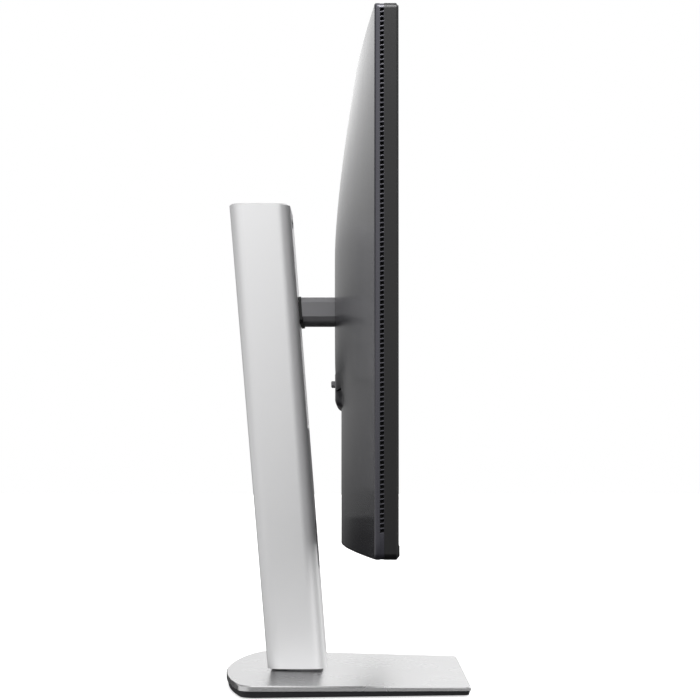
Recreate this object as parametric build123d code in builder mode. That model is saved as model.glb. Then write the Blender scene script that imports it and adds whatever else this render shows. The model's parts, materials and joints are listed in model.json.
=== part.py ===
from build123d import *
import os
from math import cos, radians, sin, tan

# Computer monitor on a stand that swivels, slides up and down and tilts.
# Millimetres, +Z up, the screen faces -Y, X is the width. The origin is on the table under the
# middle of the outline.

os.makedirs("parts", exist_ok=True)

# ---------------------------------------------------------------- driving dimensions
# Display head: a 27-inch-class panel.
HEAD_WIDTH = 611.4
HEAD_HEIGHT = 356.0
HEAD_BOTTOM = 109.0
HEAD_FRONT = -38.5
HEAD_CORNER = 4.0
FRAME_DEPTH = 9.7
VENT_DEPTH = 2.9
SKIN = 2.2
CHIN = 9.0
LIP = 1.8

# Rear cover: depth of its dome at the middle, and the raised boss round the mount.
COVER_EDGE = -22.7
DOME_POWER = 1.45
DOME_BACK = 3.8
DOME_FALL_FROM = 378.0
SHOULDER_HALF = 50.0
SHOULDER_POWER = 1.4
SHOULDER_LOW = 205.0
SHOULDER_HIGH = 300.0
SHOULDER_TOP = 335.0
BOSS_BACK = 8.2
BOSS_BOTTOM = 218.0
BOSS_TOP = 405.0
BOSS_HALF = 60.0

# Foot: a thin wedge, narrower at the front, with a bowed rear edge.
BASE_DEPTH = 189.4
BASE_FRONT_HALF = 116.0
BASE_REAR_HALF = 134.0
BASE_BOW = 20.0
FOOT_PAD = 1.0
BASE_TOP_MID = 8.9
BASE_TOP_SLOPE = 1.03
BASE_JOIN_MID = 5.25
BASE_JOIN_SLOPE = 0.58
BASE_CHAMFER = 0.9

# Column: a leaning sleeve, a little deeper at its top.
COLUMN_BOTTOM = 11.6
COLUMN_TOP = 381.0
COLUMN_HALF = 33.0
COLUMN_DEPTH_LOW = 46.3
COLUMN_DEPTH_HIGH = 48.7
COLUMN_FRONT_LOW = 15.5
COLUMN_ROUND = 10.5
COLUMN_WALL = 2.4
CAP_THICK = 2.2
LEAN = 4.52

# Arm and tilt hinge. The tilt axis runs along X, just behind the boss of the rear cover.
TILT_Y = 9.0
TILT_Z = 296.9
ARM_HALF_WIDTH = 25.0
ARM_HALF_HEIGHT = 10.2
ARM_SKIN = 1.8
ARM_TOP_CHAMFER = 4.5
ARM_LOW_ROUND = 5.5
NOSE_WINDOW_BACK = 1.5
SHAFT_R = 4.0
RUNNING = 0.05
LIFT_Z = 294.6
LIFT_UP = 65.0
LIFT_DOWN = 80.0

# Mount recess in the rear cover, and the plates in it.
MOUNT_HALF = 55.0
MOUNT_LOW = 243.2
MOUNT_HIGH = 353.2
MOUNT_PLATE_BACK = -7.0
PLATE_THICK = 2.0
SCREW_GRID = 100.0

# Connector bay in the rear cover, open to the back and below.
BAY_LEFT = 20.0
BAY_RIGHT = 150.0
BAY_LOW = 158.0
BAY_HIGH = 214.0
BAY_FLOOR = -21.0
CONNECTOR_PLATE = 1.2

# ---------------------------------------------------------------- derived places
HALF_WIDTH = HEAD_WIDTH / 2
HEAD_TOP = HEAD_BOTTOM + HEAD_HEIGHT
HEAD_MID = HEAD_BOTTOM + HEAD_HEIGHT / 2
FRAME_BACK = HEAD_FRONT + FRAME_DEPTH
COVER_FRONT = FRAME_BACK + VENT_DEPTH
MOUNT_MID = (MOUNT_LOW + MOUNT_HIGH) / 2
COLUMN_MID_LOW = COLUMN_FRONT_LOW + COLUMN_DEPTH_LOW / 2


def column_front(z):
    """Y of the column's front face at height z."""
    return COLUMN_FRONT_LOW + tan(radians(LEAN)) * (z - COLUMN_BOTTOM)


def column_depth(z):
    """Depth of the column along Y at height z."""
    share = (z - COLUMN_BOTTOM) / (COLUMN_TOP - COLUMN_BOTTOM)
    return COLUMN_DEPTH_LOW + share * (COLUMN_DEPTH_HIGH - COLUMN_DEPTH_LOW)


def wedge(mid_height, slope):
    """A plane across the foot that rises towards the rear."""
    tilt = radians(slope)
    return Plane((0, 0, mid_height), x_dir=(1, 0, 0), z_dir=(0, -sin(tilt), cos(tilt)))


def wedge_height(mid_height, slope, y):
    """Height of such a plane at y."""
    return mid_height + tan(radians(slope)) * y


# The lift's own frame: x across, y into the column from its front face, z up along the lean.
LIFT = Plane(
    (0, column_front(LIFT_Z), LIFT_Z),
    x_dir=(1, 0, 0),
    z_dir=(0, sin(radians(LEAN)), cos(radians(LEAN))),
)


def span(low, high):
    """Middle and length of a stretch."""
    return (low + high) / 2, high - low


def block(x, y, z, mode=Mode.ADD):
    """A box between two limits on each axis of the current workplane."""
    middle_x, length_x = span(*x)
    middle_y, length_y = span(*y)
    middle_z, length_z = span(*z)
    with Locations((middle_x, middle_y, middle_z)):
        Box(length_x, length_y, length_z, mode=mode)


# ---------------------------------------------------------------- foot
def base_outline(inset):
    """The foot from above: straight front and sides, bowed rear edge, rounded corners."""
    front = -BASE_DEPTH / 2 + inset
    rear = BASE_DEPTH / 2 - inset
    with BuildSketch() as outline:
        with BuildLine():
            Line((-BASE_FRONT_HALF + inset, front), (BASE_FRONT_HALF - inset, front))
            Line((BASE_FRONT_HALF - inset, front), (BASE_REAR_HALF - inset, rear - BASE_BOW))
            ThreePointArc(
                (BASE_REAR_HALF - inset, rear - BASE_BOW),
                (0, rear),
                (-BASE_REAR_HALF + inset, rear - BASE_BOW),
            )
            Line((-BASE_REAR_HALF + inset, rear - BASE_BOW), (-BASE_FRONT_HALF + inset, front))
        make_face()
        fillet(outline.vertices().group_by(Axis.Y)[0], radius=5)
        fillet(outline.vertices().group_by(Axis.Y)[-1], radius=12)
    return outline.sketch


HUB_R = 20.0
RACE_R = 32.0
BASE_SCREWS = [(-92, -68), (92, -68), (-104, 52), (104, 52)]
SCREW_BITE = 2.0

with BuildPart() as base_plate:
    with BuildSketch():
        add(base_outline(0))
    extrude(amount=20)
    split(bisect_by=wedge(BASE_TOP_MID, BASE_TOP_SLOPE), keep=Keep.BOTTOM)
    split(bisect_by=wedge(BASE_JOIN_MID, BASE_JOIN_SLOPE), keep=Keep.TOP)
    chamfer(base_plate.faces().sort_by(Axis.Z)[-1].edges(), length=BASE_CHAMFER)
    with Locations((0, COLUMN_MID_LOW, 0)):
        Cylinder(HUB_R + RUNNING, 60, mode=Mode.SUBTRACT)
    for x, y in BASE_SCREWS:
        tip = wedge_height(BASE_JOIN_MID, BASE_JOIN_SLOPE, y) + SCREW_BITE
        with Locations((x, y, tip)):
            Cylinder(1.55, 10, align=(Align.CENTER, Align.CENTER, Align.MAX), mode=Mode.SUBTRACT)
base_plate.part.label = "base_plate"
export_step(base_plate.part, "parts/base_plate.step")

with BuildPart() as base_underbody:
    with BuildSketch(Plane.XY.offset(FOOT_PAD)):
        add(base_outline(1.6))
    with BuildSketch(Plane.XY.offset(8)):
        add(base_outline(0))
    loft()
    split(bisect_by=wedge(BASE_JOIN_MID, BASE_JOIN_SLOPE), keep=Keep.BOTTOM)
    with Locations((0, COLUMN_MID_LOW, 0)):
        Cylinder(RACE_R + 1, 60, mode=Mode.SUBTRACT)
    with Locations(*[(x, y, FOOT_PAD) for x, y in BASE_SCREWS]):
        Cylinder(1.6, 60, mode=Mode.SUBTRACT)
        Cylinder(3.1, 4.1, mode=Mode.SUBTRACT)
base_underbody.part.label = "base_underbody"
export_step(base_underbody.part, "parts/base_underbody.step")

with BuildPart() as base_screws:
    for x, y in BASE_SCREWS:
        tip = wedge_height(BASE_JOIN_MID, BASE_JOIN_SLOPE, y) + SCREW_BITE - 0.2
        with Locations((x, y, FOOT_PAD + 0.4)):
            Cylinder(3.0, 1.6, align=(Align.CENTER, Align.CENTER, Align.MIN))
        with Locations((x, y, FOOT_PAD + 0.8)):
            Cylinder(1.5, tip - FOOT_PAD - 0.8, align=(Align.CENTER, Align.CENTER, Align.MIN))
base_screws.part.label = "base_screws"
export_step(base_screws.part, "parts/base_screws.step")

FEET = [(-98, -80), (98, -80), (-112, 62), (112, 62), (-46, 78), (46, 78)]
with BuildPart() as rubber_feet:
    with Locations(*[(x, y, 0) for x, y in FEET]):
        Cylinder(8, FOOT_PAD, align=(Align.CENTER, Align.CENTER, Align.MIN))
    chamfer(rubber_feet.edges().group_by(Axis.Z)[0], length=0.3)
rubber_feet.part.label = "rubber_feet"
export_step(rubber_feet.part, "parts/rubber_feet.step")

# Swivel: the hub's flange turns under a steel ring that is fixed below the top plate.
RING_LOW = 4.5
RING_HIGH = 5.2
FLANGE_LOW = 2.6
with BuildPart() as swivel_ring:
    with BuildSketch(Plane.XY.offset(RING_LOW)):
        with Locations((0, COLUMN_MID_LOW)):
            Circle(RACE_R)
            Circle(HUB_R + 0.6, mode=Mode.SUBTRACT)
    extrude(amount=RING_HIGH - RING_LOW)
swivel_ring.part.label = "swivel_ring"
export_step(swivel_ring.part, "parts/swivel_ring.step")

# ---------------------------------------------------------------- thumbscrew under the foot
SCREW_HEAD_R = 10.0
SCREW_HEAD_LOW = 4.0
SCREW_HEAD_HIGH = 5.8
RING_WIRE_R = 0.7
RING_LOOP_R = 8.6
RING_PIN_Z = 2.7
with BuildPart() as swivel_hub:
    with Locations((0, COLUMN_MID_LOW, FLANGE_LOW)):
        Cylinder(
            RACE_R - 0.4,
            RING_LOW - FLANGE_LOW - RUNNING,
            align=(Align.CENTER, Align.CENTER, Align.MIN),
        )
        Cylinder(HUB_R, COLUMN_BOTTOM - FLANGE_LOW, align=(Align.CENTER, Align.CENTER, Align.MIN))
        Cylinder(
            SCREW_HEAD_R + 0.6,
            SCREW_HEAD_HIGH - FLANGE_LOW,
            align=(Align.CENTER, Align.CENTER, Align.MIN),
            mode=Mode.SUBTRACT,
        )
        Cylinder(3.2, 40, mode=Mode.SUBTRACT)
swivel_hub.part.label = "swivel_hub"
export_step(swivel_hub.part, "parts/swivel_hub.step")

with BuildPart() as thumbscrew:
    with Locations((0, COLUMN_MID_LOW, SCREW_HEAD_LOW)):
        Cylinder(
            SCREW_HEAD_R,
            SCREW_HEAD_HIGH - SCREW_HEAD_LOW,
            align=(Align.CENTER, Align.CENTER, Align.MIN),
        )
        Cylinder(2.95, 28, align=(Align.CENTER, Align.CENTER, Align.MIN))
    with Locations((0, COLUMN_MID_LOW, (SCREW_HEAD_LOW + RING_PIN_Z - 1.3) / 2)):
        Box(7, 3, SCREW_HEAD_LOW - RING_PIN_Z + 1.3)
    with Locations(Plane((0, COLUMN_MID_LOW, RING_PIN_Z), z_dir=(1, 0, 0))):
        Cylinder(RING_WIRE_R + RUNNING, 20, mode=Mode.SUBTRACT)
thumbscrew.part.label = "thumbscrew"
export_step(thumbscrew.part, "parts/thumbscrew.step")

with BuildPart() as thumbscrew_ring:
    with BuildSketch(Plane((RING_LOOP_R, COLUMN_MID_LOW, RING_PIN_Z), z_dir=(0, 1, 0))):
        Circle(RING_WIRE_R)
    revolve(axis=Axis((0, COLUMN_MID_LOW, RING_PIN_Z), (0, 0, -1)), revolution_arc=-180)
    with Locations(Plane((0, COLUMN_MID_LOW, RING_PIN_Z), z_dir=(1, 0, 0))):
        Cylinder(RING_WIRE_R, 2 * RING_LOOP_R)
    for side in (-1, 1):
        with Locations((side * RING_LOOP_R, COLUMN_MID_LOW, RING_PIN_Z)):
            Sphere(RING_WIRE_R)
thumbscrew_ring.part.label = "thumbscrew_ring"
export_step(thumbscrew_ring.part, "parts/thumbscrew_ring.step")


# ---------------------------------------------------------------- column
def column_section(z, inset):
    """Level section through the column at height z, drawn flat: a rounded rectangle."""
    depth = column_depth(z)
    with BuildSketch() as section:
        with Locations((0, column_front(z) + depth / 2)):
            RectangleRounded(
                2 * (COLUMN_HALF - inset), depth - 2 * inset, max(COLUMN_ROUND - inset, 1)
            )
    return section.sketch


FOOT_TOP = 41.6
FOOT_PLAY = 0.2
RAIL_HALF = 20.0
RAIL_SHEET = 2.0
RAIL_BACK = 43.8
RAIL_FLANGE = 26.0
RAIL_LOW = -250.0
RAIL_HIGH = 79.0
FLANGE_END = -140.0
SLOT_HALF = 15.0
SLOT_LOW = -LIFT_DOWN - 13.0
SLOT_HIGH = LIFT_UP + 12.0
CABLE_LOW = 88.0
CABLE_HIGH = 132.0
CABLE_HALF = 14.0
GROMMET = 1.4

with BuildPart() as column_shell:
    for z in (COLUMN_BOTTOM, COLUMN_TOP - CAP_THICK):
        with BuildSketch(Plane.XY.offset(z)):
            add(column_section(z, 0))
    loft()
    for z in (COLUMN_BOTTOM - 1, COLUMN_TOP - CAP_THICK + 1):
        with BuildSketch(Plane.XY.offset(z)):
            add(column_section(z, COLUMN_WALL))
    loft(mode=Mode.SUBTRACT)
    # front slot that the arm slides in, with round ends
    with BuildSketch(Plane(LIFT.origin, x_dir=(1, 0, 0), z_dir=-LIFT.y_dir)):
        with Locations((0, (SLOT_LOW + SLOT_HIGH) / 2)):
            RectangleRounded(2 * SLOT_HALF, SLOT_HIGH - SLOT_LOW, 4)
    extrude(amount=8, both=True, mode=Mode.SUBTRACT)
    # cable hole, right through from front to rear
    with BuildSketch(Plane.XZ):
        with Locations((0, (CABLE_LOW + CABLE_HIGH) / 2)):
            RectangleRounded(2 * CABLE_HALF, CABLE_HIGH - CABLE_LOW, 12)
    extrude(amount=-120, mode=Mode.SUBTRACT)
column_shell.part.label = "column_shell"
export_step(column_shell.part, "parts/column_shell.step")

PLUG_DEPTH = 3.4
with BuildPart() as column_cap:
    for z in (COLUMN_TOP - CAP_THICK, COLUMN_TOP):
        with BuildSketch(Plane.XY.offset(z)):
            add(column_section(z, 0))
    loft()
    chamfer(column_cap.faces().sort_by(Axis.Z)[-1].edges(), length=1.1)
    for z in (COLUMN_TOP - CAP_THICK - PLUG_DEPTH, COLUMN_TOP - CAP_THICK):
        with BuildSketch(Plane.XY.offset(z)):
            add(column_section(z, COLUMN_WALL + FOOT_PLAY))
    loft()
column_cap.part.label = "column_cap"
export_step(column_cap.part, "parts/column_cap.step")

# Cast foot inside the column's lower end, with a tab that the lift rail is screwed to.
TAB_FRONT = 38.2
TAB_HALF = 14.0
TAB_HIGH = -232.0
RAIL_SCREWS = [(-8, -241), (8, -241)]
with BuildPart() as column_foot:
    for z in (COLUMN_BOTTOM, FOOT_TOP):
        with BuildSketch(Plane.XY.offset(z)):
            add(column_section(z, COLUMN_WALL + FOOT_PLAY))
    loft()
    with Locations((0, COLUMN_MID_LOW, COLUMN_BOTTOM)):
        Cylinder(3.0, 60, mode=Mode.SUBTRACT)
    with BuildPart(LIFT, mode=Mode.PRIVATE) as foot_tab:
        block(
            (-TAB_HALF, TAB_HALF),
            (TAB_FRONT, RAIL_BACK - RAIL_SHEET),
            (-262, TAB_HIGH),
        )
    add(foot_tab.part)
    with Locations(*[LIFT * Pos(x, TAB_FRONT, z) * Rot(-90, 0, 0) for x, z in RAIL_SCREWS]):
        Cylinder(1.7, 16, mode=Mode.SUBTRACT)
column_foot.part.label = "column_foot"
export_step(column_foot.part, "parts/column_foot.step")

with BuildPart(LIFT) as lift_rail:
    block((-RAIL_HALF, RAIL_HALF), (RAIL_BACK - RAIL_SHEET, RAIL_BACK), (RAIL_LOW, RAIL_HIGH))
    for side in (-1, 1):
        inner, outer = sorted((side * (RAIL_HALF - RAIL_SHEET), side * RAIL_HALF))
        block((inner, outer), (RAIL_FLANGE, RAIL_BACK), (FLANGE_END, RAIL_HIGH))
    window = (CABLE_LOW + CABLE_HIGH) / 2 - LIFT_Z
    with Locations((0, RAIL_BACK, window)):
        Box(2 * CABLE_HALF + 4, 12, CABLE_HIGH - CABLE_LOW + 12, mode=Mode.SUBTRACT)
    with Locations(*[Pos(x, RAIL_BACK, z) * Rot(-90, 0, 0) for x, z in RAIL_SCREWS]):
        Cylinder(1.7, 16, mode=Mode.SUBTRACT)
lift_rail.part.label = "lift_rail"
export_step(lift_rail.part, "parts/lift_rail.step")

with BuildPart(LIFT) as rail_screws:
    with Locations(*[Pos(x, TAB_FRONT, z) * Rot(90, 0, 0) for x, z in RAIL_SCREWS]):
        Cylinder(3.2, 2.2, align=(Align.CENTER, Align.CENTER, Align.MIN))
        Cylinder(1.6, 5.4, align=(Align.CENTER, Align.CENTER, Align.MAX))
rail_screws.part.label = "rail_screws"
export_step(rail_screws.part, "parts/rail_screws.step")

# Grommet that lines the cable hole from the front face to the rear face.
with BuildPart() as cable_grommet:
    middle = (CABLE_LOW + CABLE_HIGH) / 2
    tall = CABLE_HIGH - CABLE_LOW
    with BuildSketch(Plane.XZ):
        with Locations((0, middle)):
            RectangleRounded(2 * CABLE_HALF - 0.2, tall - 0.2, 11.9)
            RectangleRounded(
                2 * (CABLE_HALF - GROMMET), tall - 2 * GROMMET, 12 - GROMMET, mode=Mode.SUBTRACT
            )
    extrude(amount=-120)
    with BuildPart(mode=Mode.PRIVATE) as sleeve:
        for z in (COLUMN_BOTTOM, COLUMN_TOP):
            with BuildSketch(Plane.XY.offset(z)):
                add(column_section(z, 0.4))
        loft()
    add(sleeve.part, mode=Mode.INTERSECT)
cable_grommet.part.label = "cable_grommet"
export_step(cable_grommet.part, "parts/cable_grommet.step")

# ---------------------------------------------------------------- lift
CARRIAGE_HALF = 15.4
CARRIAGE_FRONT = 14.0
CARRIAGE_BACK = 40.3
CARRIAGE_LOW = -52.0
CARRIAGE_HIGH = 13.0
STRIP_BACK = 41.5
STRIP_THICK = 0.3
STRIP_HALF = 10.0
COIL_R = 12.0
DRUM_R = 7.0
AXLE_R = 3.0
DRUM_Z = -37.0
DRUM_Y = STRIP_BACK - STRIP_THICK - RUNNING - COIL_R
POCKET_HALF = 11.6
POCKET_HIGH = -22.5

with BuildPart(LIFT) as lift_carriage:
    block(
        (-CARRIAGE_HALF, CARRIAGE_HALF),
        (CARRIAGE_FRONT, CARRIAGE_BACK),
        (CARRIAGE_LOW, CARRIAGE_HIGH),
    )
    block(
        (-POCKET_HALF, POCKET_HALF),
        (CARRIAGE_FRONT - 1, CARRIAGE_BACK + 1),
        (CARRIAGE_LOW - 1, POCKET_HIGH),
        Mode.SUBTRACT,
    )
    with Locations(Pos(0, DRUM_Y, DRUM_Z) * Rot(0, 90, 0)):
        Cylinder(AXLE_R + 0.02, 60, mode=Mode.SUBTRACT)
lift_carriage.part.label = "lift_carriage"
export_step(lift_carriage.part, "parts/lift_carriage.step")

with BuildPart(LIFT) as glide_pads:
    for side in (-1, 1):
        for low, high in ((-50, -38), (0, 12)):
            inner, outer = sorted((side * CARRIAGE_HALF, side * (RAIL_HALF - RAIL_SHEET - RUNNING)))
            block((inner, outer), (28, 41.75), (low, high))
            inner, outer = sorted((side * (CARRIAGE_HALF - 3), side * (CARRIAGE_HALF + 0.5)))
            block((inner, outer), (CARRIAGE_BACK, 41.75), (low, high))
glide_pads.part.label = "glide_pads"
export_step(glide_pads.part, "parts/glide_pads.step")

with BuildPart(LIFT) as drum_axle:
    with Locations(Pos(0, DRUM_Y, DRUM_Z) * Rot(0, 90, 0)):
        Cylinder(AXLE_R, 2 * CARRIAGE_HALF)
drum_axle.part.label = "drum_axle"
export_step(drum_axle.part, "parts/drum_axle.step")

with BuildPart(LIFT) as spring_drum:
    with Locations(Pos(0, DRUM_Y, DRUM_Z) * Rot(0, 90, 0)):
        Cylinder(DRUM_R, 2 * POCKET_HALF - 0.6)
        Cylinder(AXLE_R + RUNNING, 60, mode=Mode.SUBTRACT)
spring_drum.part.label = "spring_drum"
export_step(spring_drum.part, "parts/spring_drum.step")

with BuildPart(LIFT) as spring_coil:
    with Locations(Pos(0, DRUM_Y, DRUM_Z) * Rot(0, 90, 0)):
        Cylinder(COIL_R, 2 * STRIP_HALF)
        Cylinder(DRUM_R, 60, mode=Mode.SUBTRACT)
spring_coil.part.label = "spring_coil"
export_step(spring_coil.part, "parts/spring_coil.step")

with BuildPart(LIFT) as spring_strip:
    block((-STRIP_HALF, STRIP_HALF), (STRIP_BACK - STRIP_THICK, STRIP_BACK), (DRUM_Z, RAIL_HIGH))
spring_strip.part.label = "spring_strip"
export_step(spring_strip.part, "parts/spring_strip.step")

# ---------------------------------------------------------------- arm and tilt hinge
CLEVIS_INNER = 9.6
CLEVIS_OUTER = 14.6
CLEVIS_R = 8.0
CLEVIS_LENGTH = 14.0
TONGUE_GAP = 17.0
NECK_HALF = 13.0
NECK_HALF_HEIGHT = 7.8
TONGUE_HALF = 9.0
TONGUE_HALF_HEIGHT = 6.6
TILT_AXIS = Plane((0, TILT_Y, TILT_Z), x_dir=(0, 1, 0), z_dir=(1, 0, 0))
COLLAR_FACE = -0.4
COLLAR_FRONT = -3.0

with BuildPart() as arm_core:
    with BuildSketch(TILT_AXIS):
        Rectangle(60, 2 * NECK_HALF_HEIGHT, align=(Align.MIN, Align.CENTER))
    extrude(amount=NECK_HALF, both=True)
    with BuildSketch(TILT_AXIS):
        Circle(CLEVIS_R)
        Rectangle(CLEVIS_LENGTH, 2 * CLEVIS_R, align=(Align.MIN, Align.CENTER))
    extrude(amount=CLEVIS_OUTER, both=True)
    # gap that the bracket's tongue turns in
    with BuildSketch(TILT_AXIS):
        Rectangle(TONGUE_GAP, 40)
    extrude(amount=CLEVIS_INNER, both=True, mode=Mode.SUBTRACT)
    with Locations(TILT_AXIS):
        Cylinder(SHAFT_R + RUNNING, 60, mode=Mode.SUBTRACT)
    carriage_face = Plane(LIFT * Pos(0, CARRIAGE_FRONT, 0) * Rot(-90, 0, 0))
    split(bisect_by=carriage_face, keep=Keep.BOTTOM)
arm_core.part.label = "arm_core"
export_step(arm_core.part, "parts/arm_core.step")


def arm_profile(inset):
    """Side view of the arm's cover: a round nose about the tilt axis, straight to the rear."""
    tall = ARM_HALF_HEIGHT - inset
    with BuildSketch() as profile:
        Circle(tall)
        Rectangle(50, 2 * tall, align=(Align.MIN, Align.CENTER))
    return profile.sketch


with BuildPart() as arm_cover:
    with BuildSketch(TILT_AXIS):
        add(arm_profile(0))
    extrude(amount=ARM_HALF_WIDTH, both=True)
    long_edges = arm_cover.edges().filter_by(Axis.Y)
    chamfer(long_edges.group_by(Axis.Z)[-1], length=ARM_TOP_CHAMFER)
    fillet(arm_cover.edges().filter_by(Axis.Y).group_by(Axis.Z)[0], radius=ARM_LOW_ROUND)
    with BuildSketch(TILT_AXIS):
        add(arm_profile(ARM_SKIN))
    extrude(amount=ARM_HALF_WIDTH - 5, both=True, mode=Mode.SUBTRACT)
    # window in the nose for the bracket's tongue
    block(
        (-12, 12),
        (TILT_Y - 15, TILT_Y - NOSE_WINDOW_BACK),
        (TILT_Z - 8.2, TILT_Z + 9.9),
        Mode.SUBTRACT,
    )
    collar_face = Plane(LIFT * Pos(0, COLLAR_FRONT, 0) * Rot(-90, 0, 0))
    split(bisect_by=collar_face, keep=Keep.BOTTOM)

with BuildPart() as arm_cover_upper:
    add(arm_cover.part)
    split(bisect_by=Plane.XY.offset(TILT_Z), keep=Keep.TOP)
arm_cover_upper.part.label = "arm_cover_upper"
export_step(arm_cover_upper.part, "parts/arm_cover_upper.step")

with BuildPart() as arm_cover_lower:
    add(arm_cover.part)
    split(bisect_by=Plane.XY.offset(TILT_Z), keep=Keep.BOTTOM)
arm_cover_lower.part.label = "arm_cover_lower"
export_step(arm_cover_lower.part, "parts/arm_cover_lower.step")

ARM_RAISE = TILT_Z - LIFT_Z
with BuildPart(LIFT) as arm_collar:
    block(
        (-ARM_HALF_WIDTH, ARM_HALF_WIDTH),
        (COLLAR_FRONT, COLLAR_FACE),
        (ARM_RAISE - ARM_HALF_HEIGHT - 1.2, ARM_RAISE + ARM_HALF_HEIGHT),
    )
    fillet(arm_collar.edges().filter_by(Axis(LIFT.origin, LIFT.y_dir)), radius=3)
    block(
        (-NECK_HALF - 0.2, NECK_HALF + 0.2),
        (COLLAR_FRONT - 1, COLLAR_FACE + 1),
        (ARM_RAISE - NECK_HALF_HEIGHT - 0.6, ARM_RAISE + NECK_HALF_HEIGHT + 0.6),
        Mode.SUBTRACT,
    )
arm_collar.part.label = "arm_collar"
export_step(arm_collar.part, "parts/arm_collar.step")

# Bracket of the head: a plate with a tongue that turns on the shaft between the clevis cheeks.
BRACKET_THICK = 2.2
BRACKET_HALF = 24.0
BRACKET_HALF_HEIGHT = 22.0
BRACKET_BACK = MOUNT_PLATE_BACK + BRACKET_THICK
BRACKET_SCREWS = [(-18, -17), (18, -17), (-18, 17), (18, 17)]

with BuildPart() as tilt_bracket:
    block(
        (-BRACKET_HALF, BRACKET_HALF),
        (MOUNT_PLATE_BACK, BRACKET_BACK),
        (TILT_Z - BRACKET_HALF_HEIGHT, TILT_Z + BRACKET_HALF_HEIGHT),
    )
    block(
        (-TONGUE_HALF, TONGUE_HALF),
        (BRACKET_BACK, TILT_Y),
        (TILT_Z - TONGUE_HALF_HEIGHT, TILT_Z + TONGUE_HALF_HEIGHT),
    )
    with Locations(TILT_AXIS):
        Cylinder(TONGUE_HALF_HEIGHT, 2 * TONGUE_HALF)
        Cylinder(SHAFT_R + 0.02, 60, mode=Mode.SUBTRACT)
    with Locations(*[Pos(x, BRACKET_BACK, TILT_Z + z) * Rot(90, 0, 0) for x, z in BRACKET_SCREWS]):
        Cylinder(1.7, 12, mode=Mode.SUBTRACT)
tilt_bracket.part.label = "tilt_bracket"
export_step(tilt_bracket.part, "parts/tilt_bracket.step")

with BuildPart() as tilt_shaft:
    with Locations(TILT_AXIS):
        Cylinder(SHAFT_R, 2 * 18.5)
    chamfer(tilt_shaft.edges().filter_by(GeomType.CIRCLE), length=0.6)
tilt_shaft.part.label = "tilt_shaft"
export_step(tilt_shaft.part, "parts/tilt_shaft.step")

with BuildPart() as tilt_washers:
    for side in (-1, 1):
        with Locations(TILT_AXIS.offset(side * (TONGUE_HALF + 0.25))):
            Cylinder(7.2, 0.5)
        with Locations(TILT_AXIS.offset(side * (CLEVIS_OUTER + 0.55))):
            Cylinder(7.2, 0.9)
    with Locations(TILT_AXIS):
        Cylinder(SHAFT_R + 0.02, 60, mode=Mode.SUBTRACT)
tilt_washers.part.label = "tilt_washers"
export_step(tilt_washers.part, "parts/tilt_washers.step")

with BuildPart() as tilt_nuts:
    for side in (-1, 1):
        start = TILT_AXIS.offset(side * (CLEVIS_OUTER + 1.0))
        with BuildSketch(start):
            RegularPolygon(6.8, 6)
            Circle(SHAFT_R + 0.02, mode=Mode.SUBTRACT)
        extrude(amount=side * 2.6)
tilt_nuts.part.label = "tilt_nuts"
export_step(tilt_nuts.part, "parts/tilt_nuts.step")

# ---------------------------------------------------------------- mount in the head
with BuildPart() as mount_plate:
    block(
        (-MOUNT_HALF + 1, MOUNT_HALF - 1),
        (MOUNT_PLATE_BACK - PLATE_THICK, MOUNT_PLATE_BACK),
        (MOUNT_LOW + 1, MOUNT_HIGH - 1),
    )
    fillet(mount_plate.edges().filter_by(Axis.Y), radius=4)
    with Locations(
        *[Pos(x, MOUNT_PLATE_BACK, TILT_Z + z) * Rot(90, 0, 0) for x, z in BRACKET_SCREWS]
    ):
        Cylinder(1.6, 12, mode=Mode.SUBTRACT)
mount_plate.part.label = "mount_plate"
export_step(mount_plate.part, "parts/mount_plate.step")

with BuildPart() as mount_screws:
    with Locations(*[Pos(x, BRACKET_BACK, TILT_Z + z) * Rot(90, 0, 0) for x, z in BRACKET_SCREWS]):
        Cylinder(1.55, 4, align=(Align.CENTER, Align.CENTER, Align.MIN))
        Cylinder(3.0, 1.7, align=(Align.CENTER, Align.CENTER, Align.MAX))
mount_screws.part.label = "mount_screws"
export_step(mount_screws.part, "parts/mount_screws.step")

# Plastic cover over the mount plate, with a window for the arm.
COVER_PLATE_BACK = 7.0
COVER_PLATE_THICK = 2.0
WINDOW_HALF = ARM_HALF_WIDTH + 1.4
WINDOW_LOW = TILT_Z - ARM_HALF_HEIGHT - 1.4
WINDOW_HIGH = TILT_Z + ARM_HALF_HEIGHT + 1.8
EDGE_PLAY = 0.5

with BuildPart() as mount_cover:
    block(
        (-MOUNT_HALF + EDGE_PLAY, MOUNT_HALF - EDGE_PLAY),
        (MOUNT_PLATE_BACK, COVER_PLATE_BACK),
        (MOUNT_LOW + EDGE_PLAY, MOUNT_HIGH - EDGE_PLAY),
    )
    fillet(mount_cover.edges().filter_by(Axis.Y), radius=4)
    fillet(mount_cover.faces().sort_by(Axis.Y)[-1].edges(), radius=1)
    block(
        (-MOUNT_HALF + 2.5, MOUNT_HALF - 2.5),
        (MOUNT_PLATE_BACK - 1, COVER_PLATE_BACK - COVER_PLATE_THICK),
        (MOUNT_LOW + 2.5, MOUNT_HIGH - 2.5),
        Mode.SUBTRACT,
    )
    block(
        (-WINDOW_HALF - 1.6, WINDOW_HALF + 1.6),
        (MOUNT_PLATE_BACK + 4.6, COVER_PLATE_BACK - COVER_PLATE_THICK),
        (WINDOW_LOW - 1.6, WINDOW_HIGH + 1.6),
    )
    block(
        (-WINDOW_HALF, WINDOW_HALF),
        (MOUNT_PLATE_BACK - 1, COVER_PLATE_BACK + 1),
        (WINDOW_LOW, WINDOW_HIGH),
        Mode.SUBTRACT,
    )
    # notch for the latch bolt's nose
    block(
        (-9, 9),
        (MOUNT_PLATE_BACK - 1, MOUNT_PLATE_BACK + 2.6),
        (MOUNT_LOW - 1, MOUNT_LOW + 4),
        Mode.SUBTRACT,
    )
mount_cover.part.label = "mount_cover"
export_step(mount_cover.part, "parts/mount_cover.step")

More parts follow.
